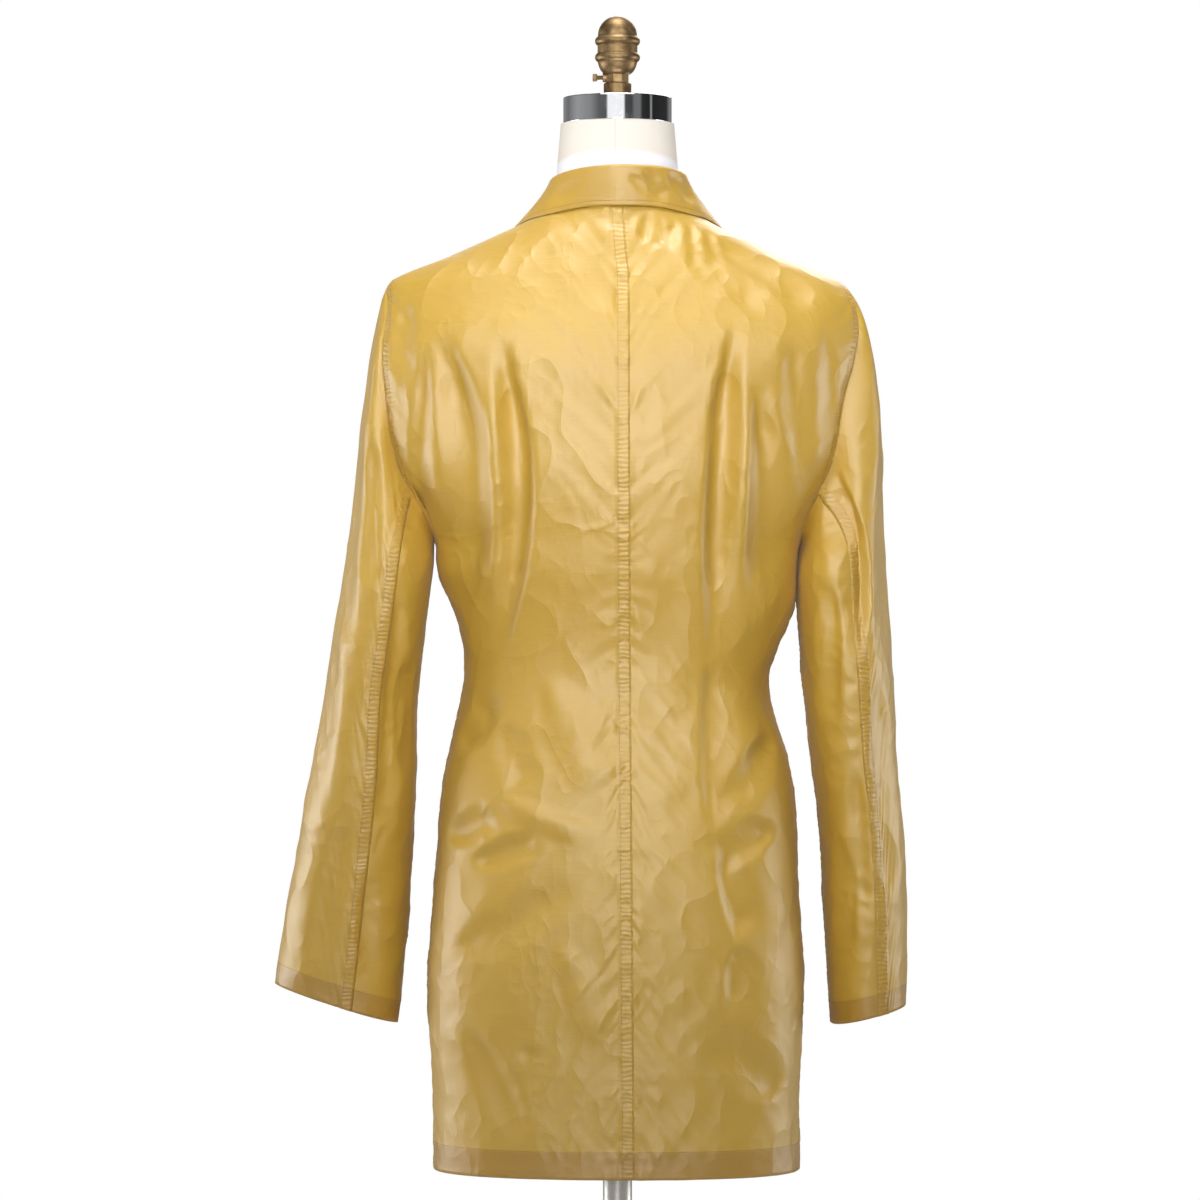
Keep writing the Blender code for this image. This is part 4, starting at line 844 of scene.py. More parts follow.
def sleeve_sheet(side, steps):
    """Rows of points down the sleeve at these steps of its ring, which may run past the last."""
    seams, sections = SLEEVE_SEAMS[side_name(side)], SLEEVES[side_name(side)]
    steps, whole = np.mod(steps, RING_STEPS), np.arange(RING_STEPS + 1)
    known = (0, seams["back_step"], seams["front_step"], RING_STEPS)
    known_turns = (0.0, seams["back_turn"], seams["front_turn"], 360.0)
    turns, whole_turns = (np.interp(places, known, known_turns) for places in (steps, whole))

    def leaving(angles):
        """The way the sleeve leaves the armhole."""
        return unit(np.stack([side * (SLEEVE_LEAVE_OUT + SLEEVE_LEAVE_TOP * np.cos(angles)),
                              SLEEVE_LEAVE_ALONG * np.sin(angles),
                              np.full_like(angles, -SLEEVE_LEAVE_DOWN)], axis=-1))

    # The way across the seam, out of the body's cloth and along the ring, at whole steps
    edges, across = ring_edge(side, whole.astype(float))
    across[0] = across[-1] = (side * SHOULDER_WAY[0], 0.0, SHOULDER_WAY[1])
    across[RING_STEPS // 2] = (0.0, 0.0, 1.0)
    away = leaving(np.radians(whole_turns))
    ring_way = unit(np.roll(edges[:-1], -1, axis=0) - np.roll(edges[:-1], 1, axis=0))
    ring_way = np.vstack([ring_way, ring_way[:1]])
    normal = unit(np.cross(ring_way, across))
    toward = (normal * np.array([side * 1.0, 0, 0.4])
              + normal * edges * np.array([0, 8.0, 0])).sum(axis=-1, keepdims=True)
    outward = normal * np.sign(toward)
    bend = (away * across).sum(axis=-1, keepdims=True)
    folds_out = ((away * outward).sum(axis=-1, keepdims=True) > 0) * (1 - bend) / 2
    shift = across * SLEEVE_SEAM_GAP + outward * folds_out * (WALL + SLEEVE_SEAM_GAP)
    body_way = unit(unit(edges * np.array([0.25, 1.0, 0.0])) * 0.9
                    + np.array([side * 0.3, 0.0, 0.3]))

    # The tucked turnings, the head and the tube
    edge, _ = ring_edge(side, steps)
    start = edge + points_at(steps, whole, shift) * 0.3
    tucked = edge - points_at(steps, whole, across) * TUCK
    body_out = points_at(steps, whole, body_way)
    top_z = sections["z"][0]
    first, below = (sleeve_section(side, turns, z) for z in (top_z, top_z - 0.01))
    chord = np.linalg.norm(first - start, axis=-1, keepdims=True)
    leave = leaving(np.radians(turns)) * chord * SLEEVE_SWELL[side_name(side)]
    arrive = unit(below - first) * chord * SLEEVE_ARRIVE
    rows = [tucked * (1 - t) + start * t - body_out * 0.0016 * (1 - t**4)
            for t in np.linspace(0.0, 1.0, TUCK_ROWS + 1)[:-1]]
    for t in np.linspace(0.0, 1.0, SLEEVE_HEAD_ROWS + 1)[:-1] ** 1.15:
        rows.append((2 * t**3 - 3 * t**2 + 1) * start + (t**3 - 2 * t**2 + t) * leave
                    + (3 * t**2 - 2 * t**3) * first + (t**3 - t**2) * arrive)
    for z in np.linspace(top_z, sections["z"][-1], SLEEVE_TUBE_ROWS + 1):
        rows.append(sleeve_section(side, turns, z))
    return np.array(rows)


def sleeve_piece(side, under):
    """An upper or under sleeve, from the front seam round the outside to the back seam."""
    seams = SLEEVE_SEAMS[side_name(side)]
    first, last = ((seams["back_step"], seams["front_step"]) if under
                   else (seams["front_step"], seams["back_step"] + RING_STEPS))
    t = np.linspace(0.0, 1.0, (UNDER_COLUMNS if under else UPPER_COLUMNS) + 1)
    t = t - 0.35 * np.sin(2 * np.pi * t) / (2 * np.pi)
    trim = 0.012 if under else -SLEEVE_LAP
    steps = first + trim + (last - first - 2 * trim) * t
    base = sleeve_sheet(side, steps)
    middle = np.array([[[side * 0.2, 0, 1.0]]]) if under else base.mean(axis=1, keepdims=True)
    normal = grid_normals(base, base - middle)
    off_first = lengths(base, 1)
    off_last = off_first[:, -1:] - off_first
    down = lengths(base, 0)
    below_seam = smooth(down / 0.03)
    rise = 1.3 * crinkle(base, SLEEVE_SEED + 3 * side) * below_seam
    x, z = base[..., 0], base[..., 2]
    creases = SLEEVE_CREASES[side_name(side)]
    behind = smooth((normal[..., 1] + 0.15) / 0.5)
    ahead = smooth((-normal[..., 1] + 0.15) / 0.5)
    rise -= crease_depth(creases, x, z) * behind * below_seam
    rise -= crease_depth(creases, x * 0.985, z + 0.035) * ahead * 0.9 * below_seam
    for off, seed in ((off_first, 50), (off_last, 60)):
        if not under:
            rise += ladder(down, off, seed + side, 0.0068, 0.00035) * below_seam
        rise += puckers(down, off, seed + 5 + side, 0.021, 0.9, 0.022, 0.0010) * below_seam * (
            smooth((off - 0.005) / 0.006))
        if not under:
            rise += lapped(off) * smooth((down - 0.010) / 0.01)
    rise += puckers(off_first, down - 0.008, 70 + side, 0.0120, 0.3, 0.012, 0.00040) * below_seam
    cuff = down[-1:] - down
    # painted shade where the cloth lies double: along the cuff, and on an upper sleeve along its
    # felled seams
    doubled_shade, drawn, lines = DOUBLED_SHADE["cuff"] * band(cuff, CUFF_DEPTH), 0.0 * cuff, []
    if not under:
        drawn = np.maximum(drawn_up(off_first), drawn_up(off_last))
        for off in (off_first, off_last):
            doubled_shade = np.maximum(doubled_shade, DOUBLED_SHADE["sleeve"] * band(off, FELL_DEPTH))
            lines += seam_lines(off, FELL_LINES, range(TUCK_ROWS + 4, len(base)))
    marks = np.stack([doubled_shade, drawn], axis=-1)
    return base + normal * rise[..., None], normal, marks, lines, cuff


def collar_row(side, turn_wanted):
    """A section of the collar, from its seam over the fold to its outer edge."""
    at = {name: float(curve(-COLLAR["turn"], COLLAR[name], -turn_wanted)) for name in COLLAR}
    turn = at["turn"]
    sewn = coat_point(side, turn, at["neck_z"])
    out = unit(coat_normal(side, turn, at["neck_z"]) * np.array([1.0, 1.0, 0.0]))
    up = np.array([0.0, 0.0, 1.0])
    start = sewn + up * (SEAM_GAP + WALL / 2) + out * 0.0002
    height = at["stand"] - (at["left_drop"] if side > 0 else 0.0)
    stand = max(height - COLLAR_ROLL_RADIUS, 0.001)
    top = start + up * stand - out * at["lean"]
    centre = top + out * COLLAR_ROLL_RADIUS
    points = [start * (1 - t) + top * t - out * 0.0024 * t * (1 - t)
              for t in np.linspace(0.0, 1.0, 9)]
    for swing in np.radians(np.linspace(157.5, 0.0, 8)):
        points.append(centre + COLLAR_ROLL_RADIUS * (out * math.cos(swing) + up * math.sin(swing)))
    edge = (coat_point(side, at["edge_turn"], at["edge_z"])
            + coat_normal(side, at["edge_turn"], at["edge_z"]) * at["edge_lift"] * COLLAR_SETTLE)
    bow = coat_normal(side, at["edge_turn"], at["edge_z"]) * COLLAR_BOW
    fold = points[-1]
    for t in np.linspace(0.0, 1.0, 23)[1:]:
        points.append(fold * (1 - t) + edge * t + bow * 4 * t * (1 - t))
    return points


def collar_piece():
    turns = np.linspace(90.0, COLLAR["turn"][-1], COLLAR_COLUMNS + 1)
    left = [collar_row(1, turn) for turn in turns]
    right = [collar_row(-1, turn) for turn in turns[1:]]
    base = np.array(right[::-1] + left)
    normal = grid_normals(base, base - np.array([0.0, 0.0, 1.38]))
    behind = smooth((normal[..., 1] - 0.1) / 0.4) * smooth((lengths(base, 1) - 0.030) / 0.012)
    dents = crease_depth(COLLAR_CREASES, base[..., 0], base[..., 2]) * behind
    dents += 0.0004 * noise(base[..., 0] / 0.020, base[..., 2] / 0.012, 81) * behind
    return base - normal * dents[..., None], normal


# ---------------------------------------------------------------- Blender pieces

def add_object(name, data):
    thing = bpy.data.objects.new(name, data)
    bpy.context.scene.collection.objects.link(thing)
    return thing


def add_piece(name, mesh, material):
    mesh.materials.append(material)
    mesh.shade_smooth()
    return add_object(name, mesh)


def add_mesh(name, bm, material):
    mesh = bpy.data.meshes.new(name)
    bm.to_mesh(mesh)
    bm.free()
    return add_piece(name, mesh, material)


def cloth_shell(name, grid, material, marks, lapel=None):
    """A closed thin shell through the grid's points. marks says where the cloth lies double, which
    is painted there as shade, and where a seam's stitches draw it up."""
    rows = [list(map(tuple, row)) for row in grid]
    tones = [list(row) for row in marks]
    if lapel:
        rows = [row + [tuple(p) for p in (extra or [])] for row, extra in zip(rows, lapel)]
        # the lapel's turned-back cloth gets the painted shade of cloth lying double
        tones = [row + [(DOUBLED_SHADE["lapel"], 0.0)] * len(extra or [])
                 for row, extra in zip(tones, lapel)]
    starts = np.concatenate(([0], np.cumsum([len(row) for row in rows])))
    faces = []
    for r, (lower, upper) in enumerate(zip(rows, rows[1:])):
        a, b = int(starts[r]), int(starts[r + 1])
        shared = min(len(lower), len(upper))
        faces += [(a + i, a + i + 1, b + i + 1, b + i) for i in range(shared - 1)]
        faces += [(a + len(lower) - 1, b + i + 1, b + i)
                  for i in range(shared - 1, len(upper) - 1)]
    mesh = bpy.data.meshes.new(name)
    mesh.from_pydata([p for row in rows for p in row], [], faces)
    values = np.array([t for row in tones for t in row], np.float32)
    # the first mark is the painted shade where the cloth lies double; the second is where a seam's
    # stitches draw it up
    for column, mark in enumerate(("doubled_shade", "drawn")):
        layer = mesh.attributes.new(mark, "FLOAT", "POINT")
        layer.data.foreach_set("value", np.ascontiguousarray(values[:, column]))
    piece = add_piece(name, mesh, material)
    wall = piece.modifiers.new("wall", "SOLIDIFY")
    wall.thickness, wall.offset = CLOTH, 0.0
    apply_modifiers(piece)
    return piece


def apply_modifiers(piece):
    bpy.context.view_layer.update()
    graph = bpy.context.evaluated_depsgraph_get()
    mesh = bpy.data.meshes.new_from_object(piece.evaluated_get(graph))
    piece.modifiers.clear()
    piece.data = mesh


def line_at(grid, normal, off, distance, rows):
    """The points on the cloth at a distance from an edge, one to a row, and the normals there."""
    points, outs = [], []
    columns = np.arange(grid.shape[1])
    for row in rows:
        order = np.argsort(off[row])
        column = np.interp(distance, off[row][order], columns[order])
        low = min(int(column), grid.shape[1] - 2)
        part = column - low
        out = unit(normal[row, low] * (1 - part) + normal[row, low + 1] * part)
        points.append(grid[row, low] * (1 - part) + grid[row, low + 1] * part + out * (CLOTH / 2))
        outs.append(out)
    return np.array(points), np.array(outs)


def across_line(grid, normal, off, distance):
    """The points at a distance up from the hem or cuff, one to a column."""
    turned_grid, turned_normal = np.swapaxes(grid, 0, 1), np.swapaxes(normal, 0, 1)
    return line_at(turned_grid, turned_normal, off.T, distance, range(grid.shape[1]))


def stitch_line(bm, points, outs):
    """A row of machine stitches: small slim lozenges laid end to end along a line."""
    length = run_length(points)
    for s in np.arange(STITCH_PITCH / 2, length[-1] - STITCH, STITCH_PITCH):
        start, middle, end = points_at((s, s + STITCH / 2, s + STITCH), length, points)
        out = points_at(s, length, outs)
        across = unit(np.cross(unit(end - start), out)) * STITCH_HALF_WIDTH
        rise = unit(out) * STITCH_RISE
        ring = [middle + across, middle + rise, middle - across, middle - rise * 0.5]
        verts = [bm.verts.new(p) for p in [start, end] + ring]
        for i in range(4):
            j = (i + 1) % 4
            bm.faces.new((verts[0], verts[2 + i], verts[2 + j]))
            bm.faces.new((verts[1], verts[2 + j], verts[2 + i]))


def skin(bm, rings):
    """The closed skin of a solid through rings of points."""
    loops = [[bm.verts.new(point) for point in ring] for ring in rings]
    for lower, upper in zip(loops, loops[1:]):
        for i in range(len(lower)):
            j = (i + 1) % len(lower)
            bm.faces.new((lower[i], lower[j], upper[j], upper[i]))
    bm.faces.new(loops[0][::-1])
    bm.faces.new(loops[-1])


def lofted(name, rings, material):
    bm = bmesh.new()
    skin(bm, rings)
    piece = add_mesh(name, bm, material)
    piece.data.set_sharp_from_angle(angle=math.radians(50))
    return piece


def round_turns(count):
    return np.linspace(0.0, 2 * np.pi, count + 1)[:-1]


def turned_rings(profile, sides):
    """Rings of a turned solid, from its foot to its top; profile runs from top to foot."""
    turns = round_turns(sides)
    return [np.stack([max(r, AXIS_RADIUS) * np.cos(turns), max(r, AXIS_RADIUS) * np.sin(turns),
                      np.full(sides, z)], axis=-1) for r, z in profile[::-1]]


def turned(name, profile, material, sides):
    return lofted(name, turned_rings(profile, sides), material)


# ---------------------------------------------------------------- materials

def plug(tree, socket, value):
    """Feeds a node's input from another node, or sets it to a number, a color or a vector."""
    if isinstance(value, bpy.types.NodeSocket):
        tree.links.new(value, socket)
    else:
        socket.default_value = (*value, 1.0) if socket.type == "RGBA" else value


def plug_all(tree, node, **values):
    """Feeds a node's inputs by their names, with _ for a space."""
    for name, value in values.items():
        plug(tree, node.inputs[name.replace("_", " ")], value)


def add_node(tree, kind, *values, settings=(), **named):
    """A node with its settings, its first inputs in their order and others by name."""
    node = tree.nodes.new("ShaderNode" + kind)
    for name, setting in settings:
        setattr(node, name, setting)
    for socket, value in zip(node.inputs, values):
        plug(tree, socket, value)
    plug_all(tree, node, **named)
    return node


def calc(tree, operation, *values):
    return add_node(tree, "Math", *values, settings=(("operation", operation),)).outputs[0]


def ranged(tree, value, low, high, to_low=0.0, to_high=1.0):
    """The value's place between low and high, as a place between to_low and to_high."""
    return add_node(tree, "MapRange", value, low, high, to_low, to_high).outputs[0]


def mixed(tree, share, first, second):
    """A color between two others."""
    node = add_node(tree, "Mix", share, settings=(("data_type", "RGBA"),))
    plug(tree, node.inputs[6], first)
    plug(tree, node.inputs[7], second)
    return node.outputs[2]


def texture(tree, kind, stretch=None, settings=(), **inputs):
    """A procedural texture in the object's own space, with a scale for each axis if given."""
    place = tree.nodes.new("ShaderNodeTexCoord").outputs["Object"]
    if stretch:
        place = add_node(tree, "Mapping", Vector=place, Scale=stretch).outputs[0]
    node = add_node(tree, kind, settings=settings, Vector=place, **inputs)
    return node.outputs["Fac"]


def bumped(tree, **inputs):
    return add_node(tree, "Bump", **inputs).outputs["Normal"]


def marked(tree, name):
    """A mark of this name on the cloth's points: the painted shade where it lies double, or where
    its stitches draw it up.
    """
    return add_node(tree, "Attribute", settings=(("attribute_name", name),)).outputs["Fac"]


def new_material(name, color, roughness, metallic=0.0):
    material = bpy.data.materials.new(name)
    material.use_nodes = True
    tree = material.node_tree
    shader = tree.nodes["Principled BSDF"]
    plug_all(tree, shader, Base_Color=color, Roughness=roughness, Metallic=metallic)
    return material, tree, shader


def nylon_material():
    """Thin woven nylon: satin, crumpled, with painted shade where it lies double, and gathered
    where a seam's stitches draw it up."""
    material, tree, shader = new_material("golden_nylon", (0.53, 0.325, 0.035), 0.50)
    threads = texture(tree, "TexNoise", (700.0, 700.0, 2400.0), Scale=1.0, Detail=2.0)
    streaks = texture(tree, "TexNoise", (60.0, 60.0, 1500.0), Scale=1.0, Detail=1.0)
    clouds = texture(tree, "TexNoise", (14.0, 14.0, 6.0), Scale=1.0, Detail=4.0)
    crumples = texture(tree, "TexNoise", (30.0, 30.0, 22.0),
                       (("noise_type", "RIDGED_MULTIFRACTAL"),),
                       Scale=1.0, Detail=2.0, Roughness=0.5, Offset=1.0)
    rungs = texture(tree, "TexWave", None, (("bands_direction", "Z"),),
                    Scale=80.0, Distortion=5.0, Detail=1.0, Detail_Scale=0.8)
    uneven = add_node(tree, "Mix", 0.5, A=streaks, B=clouds).outputs[0]
    tint = mixed(tree, uneven, (0.51, 0.297, 0.024), (0.60, 0.372, 0.042))
    # painted shade: the tint is darkened towards brown where the cloth lies double
    tone = mixed(tree, marked(tree, "doubled_shade"), tint, (0.40, 0.210, 0.022))
    crumpled = bumped(tree, Strength=0.28, Distance=0.0030, Height=crumples)
    gathers = calc(tree, "MULTIPLY", rungs, marked(tree, "drawn"))
    gathered = bumped(tree, Strength=1.0, Distance=0.00024, Height=gathers, Normal=crumpled)
    weave = calc(tree, "ADD", threads, streaks)
    woven = bumped(tree, Strength=0.16, Distance=0.0003, Height=weave, Normal=gathered)
    plug_all(tree, shader, IOR=1.75, Specular_IOR_Level=0.65, Sheen_Weight=0.14,
             Sheen_Roughness=0.40, Sheen_Tint=(1.0, 0.93, 0.78), Base_Color=tone, Normal=woven)
    return material


def speckled(name, low, high, roughness, metallic, scale, bump_distance):
    """A finish whose tone wanders between two colors and whose surface is slightly uneven."""
    material, tree, shader = new_material(name, low, roughness, metallic)
    cloud = texture(tree, "TexNoise", Scale=scale, Detail=4.0, Roughness=0.6)
    plug_all(tree, shader, Base_Color=mixed(tree, ranged(tree, cloud, 0.35, 0.65), low, high),
             Roughness=ranged(tree, cloud, 0.0, 1.0, roughness * 0.8, min(roughness * 1.25, 1.0)),
             Normal=bumped(tree, Strength=0.5, Distance=bump_distance, Height=cloud))
    return material


def chrome_material():
    """Bright chrome with faint wiping marks."""
    material, tree, shader = new_material("chrome", (0.86, 0.87, 0.90), 0.05, 1.0)
    smears = texture(tree, "TexNoise", Scale=90.0, Detail=5.0)
    plug_all(tree, shader, Roughness=ranged(tree, smears, 0.45, 0.80, 0.03, 0.12))
    return material


def canvas_material():
    """Cream canvas with a white band at the neck's foot and a seam down the back of the neck."""
    material, tree, shader = new_material("canvas", (0.84, 0.78, 0.70), 0.85)
    where = tree.nodes.new("ShaderNodeTexCoord").outputs["Object"]
    split = add_node(tree, "SeparateXYZ", where).outputs
    threads = texture(tree, "TexNoise", Scale=900.0, Detail=2.0)
    height = calc(tree, "SUBTRACT", split["Z"], calc(tree, "MULTIPLY", split["Y"], BAND_SLOPE))
    off_seam = calc(tree, "ABSOLUTE", calc(tree, "SUBTRACT", split["X"], NECK_SEAM_X))
    seamed = calc(tree, "MULTIPLY", ranged(tree, off_seam, 0.0009, 0.0002),
                  ranged(tree, split["Y"], 0.0, 0.01))
    ground = mixed(tree, ranged(tree, height, *BAND_EDGE), (0.83, 0.775, 0.70),
                   (0.90, 0.90, 0.97))
    tone = mixed(tree, calc(tree, "MULTIPLY", seamed, 0.55), ground, (0.70, 0.63, 0.54))
    relief = calc(tree, "SUBTRACT", threads, calc(tree, "MULTIPLY", seamed, 2.0))
    plug_all(tree, shader, Base_Color=tone,
             Normal=bumped(tree, Strength=0.25, Distance=0.0003, Height=relief))
    return material


def make_materials():
    looks = {"nylon": nylon_material(), "canvas": canvas_material(), "chrome": chrome_material()}
    for look, finish in SPECKLED.items():
        looks[look] = speckled(*finish)
    return looks


# ---------------------------------------------------------------- the scene

def settle(piece, node, body="form"):
    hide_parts(node)
    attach(piece, body)


def add_trim(piece):
    """A small piece that the solids leave out, on the body form."""
    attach(piece, "form")
    return piece


def add_cloth(node, grid, marks, lines, looks, lapel=None):
    """A piece of cloth and the stitches along its lines."""
    piece = cloth_shell(f"cloth_{node}", grid, looks["nylon"], marks, lapel)
    settle(piece, node)
    bm = bmesh.new()
    for points, outs in lines:
        stitch_line(bm, points, outs)
    stitches = add_trim(add_mesh(f"stitches_{node}", bm, looks["thread"]))


def make_coat(looks):
    """The coat's pieces; gives back the right front's grid and normals."""
    for side in (1, -1):
        name = side_name(side)
        *front, lapel = front_piece(side)
        made = {f"back_{name}": (*back_piece(side), HEM_DEPTH, None),
                f"front_{name}": (*front, HEM_DEPTH, lapel)}
        for under in (True, False):
            node = f"{'under' if under else 'upper'}_sleeve_{name}"
            made[node] = (*sleeve_piece(side, under), CUFF_DEPTH, None)
        for node, (grid, normal, marks, lines, edge, depth, lapel) in made.items():
            stitched = [line_at(grid, normal, *line) for line in lines]
            stitched.append(across_line(grid, normal, edge, depth))
            add_cloth(node, grid, marks, stitched, looks, lapel)
    grid, normal = collar_piece()
    off = lengths(grid, 1)
    off_edge = off[:, -1:] - off
    drawn = 0.5 * np.exp(-np.abs(off_edge - COLLAR_LINE) / 0.003)
    # painted shade over the whole collar, which lies double
    marks = np.stack([np.full(grid.shape[:2], DOUBLED_SHADE["collar"]), drawn], axis=-1)
    stitched = [line_at(grid, normal, off_edge, COLLAR_LINE, range(len(grid)))]
    add_cloth("collar", grid, marks, stitched, looks)
    return front[:2]


def rounded(center_r, center_z, radius, start, end, steps):
    """An arc of a turned outline, by angles from the level outward way."""
    return [(center_r + radius * math.cos(math.radians(angle)),
             center_z + radius * math.sin(math.radians(angle)))
            for angle in np.linspace(start, end, steps)]


def make_form(looks):
    turns = np.linspace(0.0, 360.0, FORM_SIDES + 1)[:-1]
    rings = []
    for z in np.linspace(FORM["z"][0], FORM["z"][-1], FORM_RINGS):
        x, y, _ = section(FORM, "half", turns, z)
        rings.append(np.stack([x, y, np.full_like(x, z)], axis=-1))
    settle(lofted("torso", rings, looks["canvas"]), "form_torso")
    edge = rounded(RING_RADIUS - 0.0006, RING_TOP_Z - 0.0006, 0.0006, 90.0, 0.0, 5)
    edge += [(RING_RADIUS, RING_TOP_Z - 0.0009)]
    foot = [(r, RING_TOP_Z + RING_BOTTOM_Z - z) for r, z in edge[::-1]]
    top = [(0.0, RING_TOP_Z), (RING_RADIUS * 0.5, RING_TOP_Z)]
    settle(turned("ring_cap", top + edge + foot + [(0.0, RING_BOTTOM_Z)], looks["chrome"], 160),
           "neck_ring")


def finial_outline():
    """Top to foot: dome, two ribs with a waist, bowl, eight-sided shank and flange."""
    foot = FINIAL_BOTTOM_Z
    dome = [(0.0168 * math.cos(angle), 1.5455 + 0.0167 * math.sin(angle))
            for angle in np.radians(np.linspace(90.0, 0.0, 25))]
    ribs = [point for z in (1.5405, 1.5265) for point in rounded(0.0152, z, 0.0042, 62, -62, 15)]
    bowl = [(0.0166, 1.5208), (0.0158, 1.5182), (0.0146, 1.5158), (0.0130, 1.5137),
            (0.0112, 1.5122), (0.0104, 1.5118)]
    shank = [(0.0101, 1.5116), (0.0101, 1.5080), (0.0101, 1.5050)]
    flange = [(0.0106, 1.5046), (0.0116, 1.5041), (0.0119, 1.5034), (0.0119, 1.4958),
              (0.0122, 1.4950), (0.0122, foot + 0.0009), (0.0116, foot + 0.0002),
              (0.0110, foot), (0.0, foot)]
    return dome + ribs + bowl + shank + flange


def with_flats(ring):
    """The ring cut down to the shank's flat sides, one of them facing back."""
    turns, half = np.arctan2(ring[:, 1], ring[:, 0]) - np.pi / 2, np.pi / SHANK_SIDES
    off_middle = (turns + half) % (2 * half) - half
    radius = np.hypot(ring[:, 0], ring[:, 1])
    kept = np.minimum(radius, SHANK_APOTHEM / np.cos(off_middle)) / np.maximum(radius, 1e-9)
    return ring * np.stack([kept, kept, np.ones_like(kept)], axis=-1)


def screw_rings():
    """The thumbscrew's rings along +X: its threaded shank and its knurled head."""
    turns = round_turns(SCREW_SIDES)
    radii = []
    for x in np.linspace(SCREW_TIP_X, SCREW_HEAD_X, 120):
        groove = THREAD_DEPTH * np.cos(2 * np.pi * (x - SCREW_TIP_X) / THREAD_PITCH - turns)
        radii.append((x, np.full(SCREW_SIDES, SCREW_RADIUS - THREAD_DEPTH) + groove))
    for step, share in ((0.0, 0.84), (0.0004, 1.0), (0.0009, 1.0), (0.0010, 0.93), (0.0014, 0.93),
                        (0.0015, 1.0), (0.0035, 1.0), (0.0039, 0.90), (0.0040, 0.60)):
        knurl = KNURL_DEPTH * (np.arange(SCREW_SIDES) % 2) if share == 1.0 else 0.0
        radii.append((SCREW_HEAD_X + step, SCREW_HEAD_RADIUS * share - knurl))
    return [np.stack([np.full(SCREW_SIDES, x), radius * np.cos(turns),
                      radius * np.sin(turns) + BOSS_Z], axis=-1)[::-1] for x, radius in radii]


def make_finial(looks):
    rings = turned_rings(finial_outline(), 128)
    rings = [with_flats(ring) if SHANK_Z[0] < ring[0, 2] < SHANK_Z[1] else ring
             for ring in rings]
    settle(lofted("finial_brass", rings, looks["brass"]), "finial")

    # The boss lies along +X: its outline is turned round +Z and then laid down
    boss = [(0.0, 0.0), (BORE_RADIUS, 0.0), (BORE_RADIUS, BOSS_LENGTH - 0.0003),
            (BORE_RADIUS + 0.0003, BOSS_LENGTH), (BOSS_RADIUS - 0.0004, BOSS_LENGTH),
            (BOSS_RADIUS - 0.0001, BOSS_LENGTH - 0.0002), (BOSS_RADIUS, BOSS_LENGTH - 0.0006),
            (BOSS_RADIUS, -0.003), (0.0, -0.003)]
    rings = [np.stack([BOSS_END_X - BOSS_LENGTH + ring[:, 2], ring[:, 1], BOSS_Z - ring[:, 0]],
                      axis=-1) for ring in turned_rings(boss, 48)]
    add_trim(lofted("finial_boss", rings, looks["brass"]))
    screw = lofted("thumbscrew_brass", screw_rings(), looks["brass"])
    settle(screw, "thumbscrew", "thumbscrew")


def make_stand(looks):
    top, foot, edge = TORSO_BOTTOM_Z - SEAM_GAP, BASE_HUB_Z + SEAM_GAP, 0.0010
    pole = [(0.0, top), (POLE_RADIUS - edge, top), (POLE_RADIUS, top - edge),
            (POLE_RADIUS, foot + edge), (POLE_RADIUS - edge, foot), (0.0, foot)]
    settle(turned("pole", pole, looks["pole"], 64), "stand_pole")
    hub = BASE_HUB_RADIUS
    base = [(0.0, BASE_HUB_Z)] + rounded(hub - 0.004, BASE_HUB_Z - 0.004, 0.004, 90.0, 0.0, 7)
    base += [(hub, 0.026), (hub + 0.0016, 0.0225), (hub + 0.005, 0.0196), (hub + 0.010, 0.0178),
             (0.090, 0.0146), (BASE_RADIUS - 0.012, 0.0118), (BASE_RADIUS - 0.004, 0.0108)]
    base += rounded(BASE_RADIUS - 0.0025, 0.0075, 0.0025, 75.0, 0.0, 6)
    base += [(BASE_RADIUS, 0.0015), (BASE_RADIUS - 0.0005, 0.0004), (BASE_RADIUS - 0.0015, 0.0),
             (0.0, 0.0)]
    settle(turned("base_iron", base, looks["base"], 160), "stand_base")


def button_mesh(looks):
    """A round button with a raised rim, a dished middle and four holes, facing +Z."""
    shares = ((0.0, BUTTON_DISH), (0.55, BUTTON_DISH), (0.66, 0.72), (0.74, 0.94), (0.80, 1.0),
              (0.90, 1.0), (0.96, 0.90), (1.0, BUTTON_DISH), (1.0, 0.35), (0.95, 0.10),
              (0.86, 0.0), (0.0, 0.0))
    outline = [(BUTTON_RADIUS * r, BUTTON_THICKNESS * z) for r, z in shares]
    button = turned("button_blank", outline, looks["button"], 64)
    cutters = []
    for x in (-HOLE_OFFSET, HOLE_OFFSET):
        for y in (-HOLE_OFFSET, HOLE_OFFSET):
            bm = bmesh.new()
            bmesh.ops.create_cone(bm, cap_ends=True, segments=20, radius1=HOLE_RADIUS,
                                  radius2=HOLE_RADIUS, depth=0.012)
            cutter = add_mesh("hole", bm, looks["button"])
            cutter.location = (x, y, 0.0)
            hole = button.modifiers.new("hole", "BOOLEAN")
            hole.object, hole.operation, hole.solver = cutter, "DIFFERENCE", "EXACT"
            cutters.append(cutter)
    apply_modifiers(button)
    button.data.set_sharp_from_angle(angle=math.radians(40))
    for cutter in cutters:
        bpy.data.objects.remove(cutter, do_unlink=True)
    return button


def thread_bar(bm, start, end, lift, width):
    """A thread laid from start to end in an arch, as a slim round bar."""
    across, up = unit(np.cross(unit(end - start), lift)), unit(lift)
    rings = []
    for t in np.linspace(0.0, 1.0, 7):
        middle = start * (1 - t) + end * t + lift * math.sin(math.pi * t)
        rings.append([middle + across * width * math.cos(turn) + up * width * math.sin(turn)
                      for turn in round_turns(8)])
    skin(bm, rings)


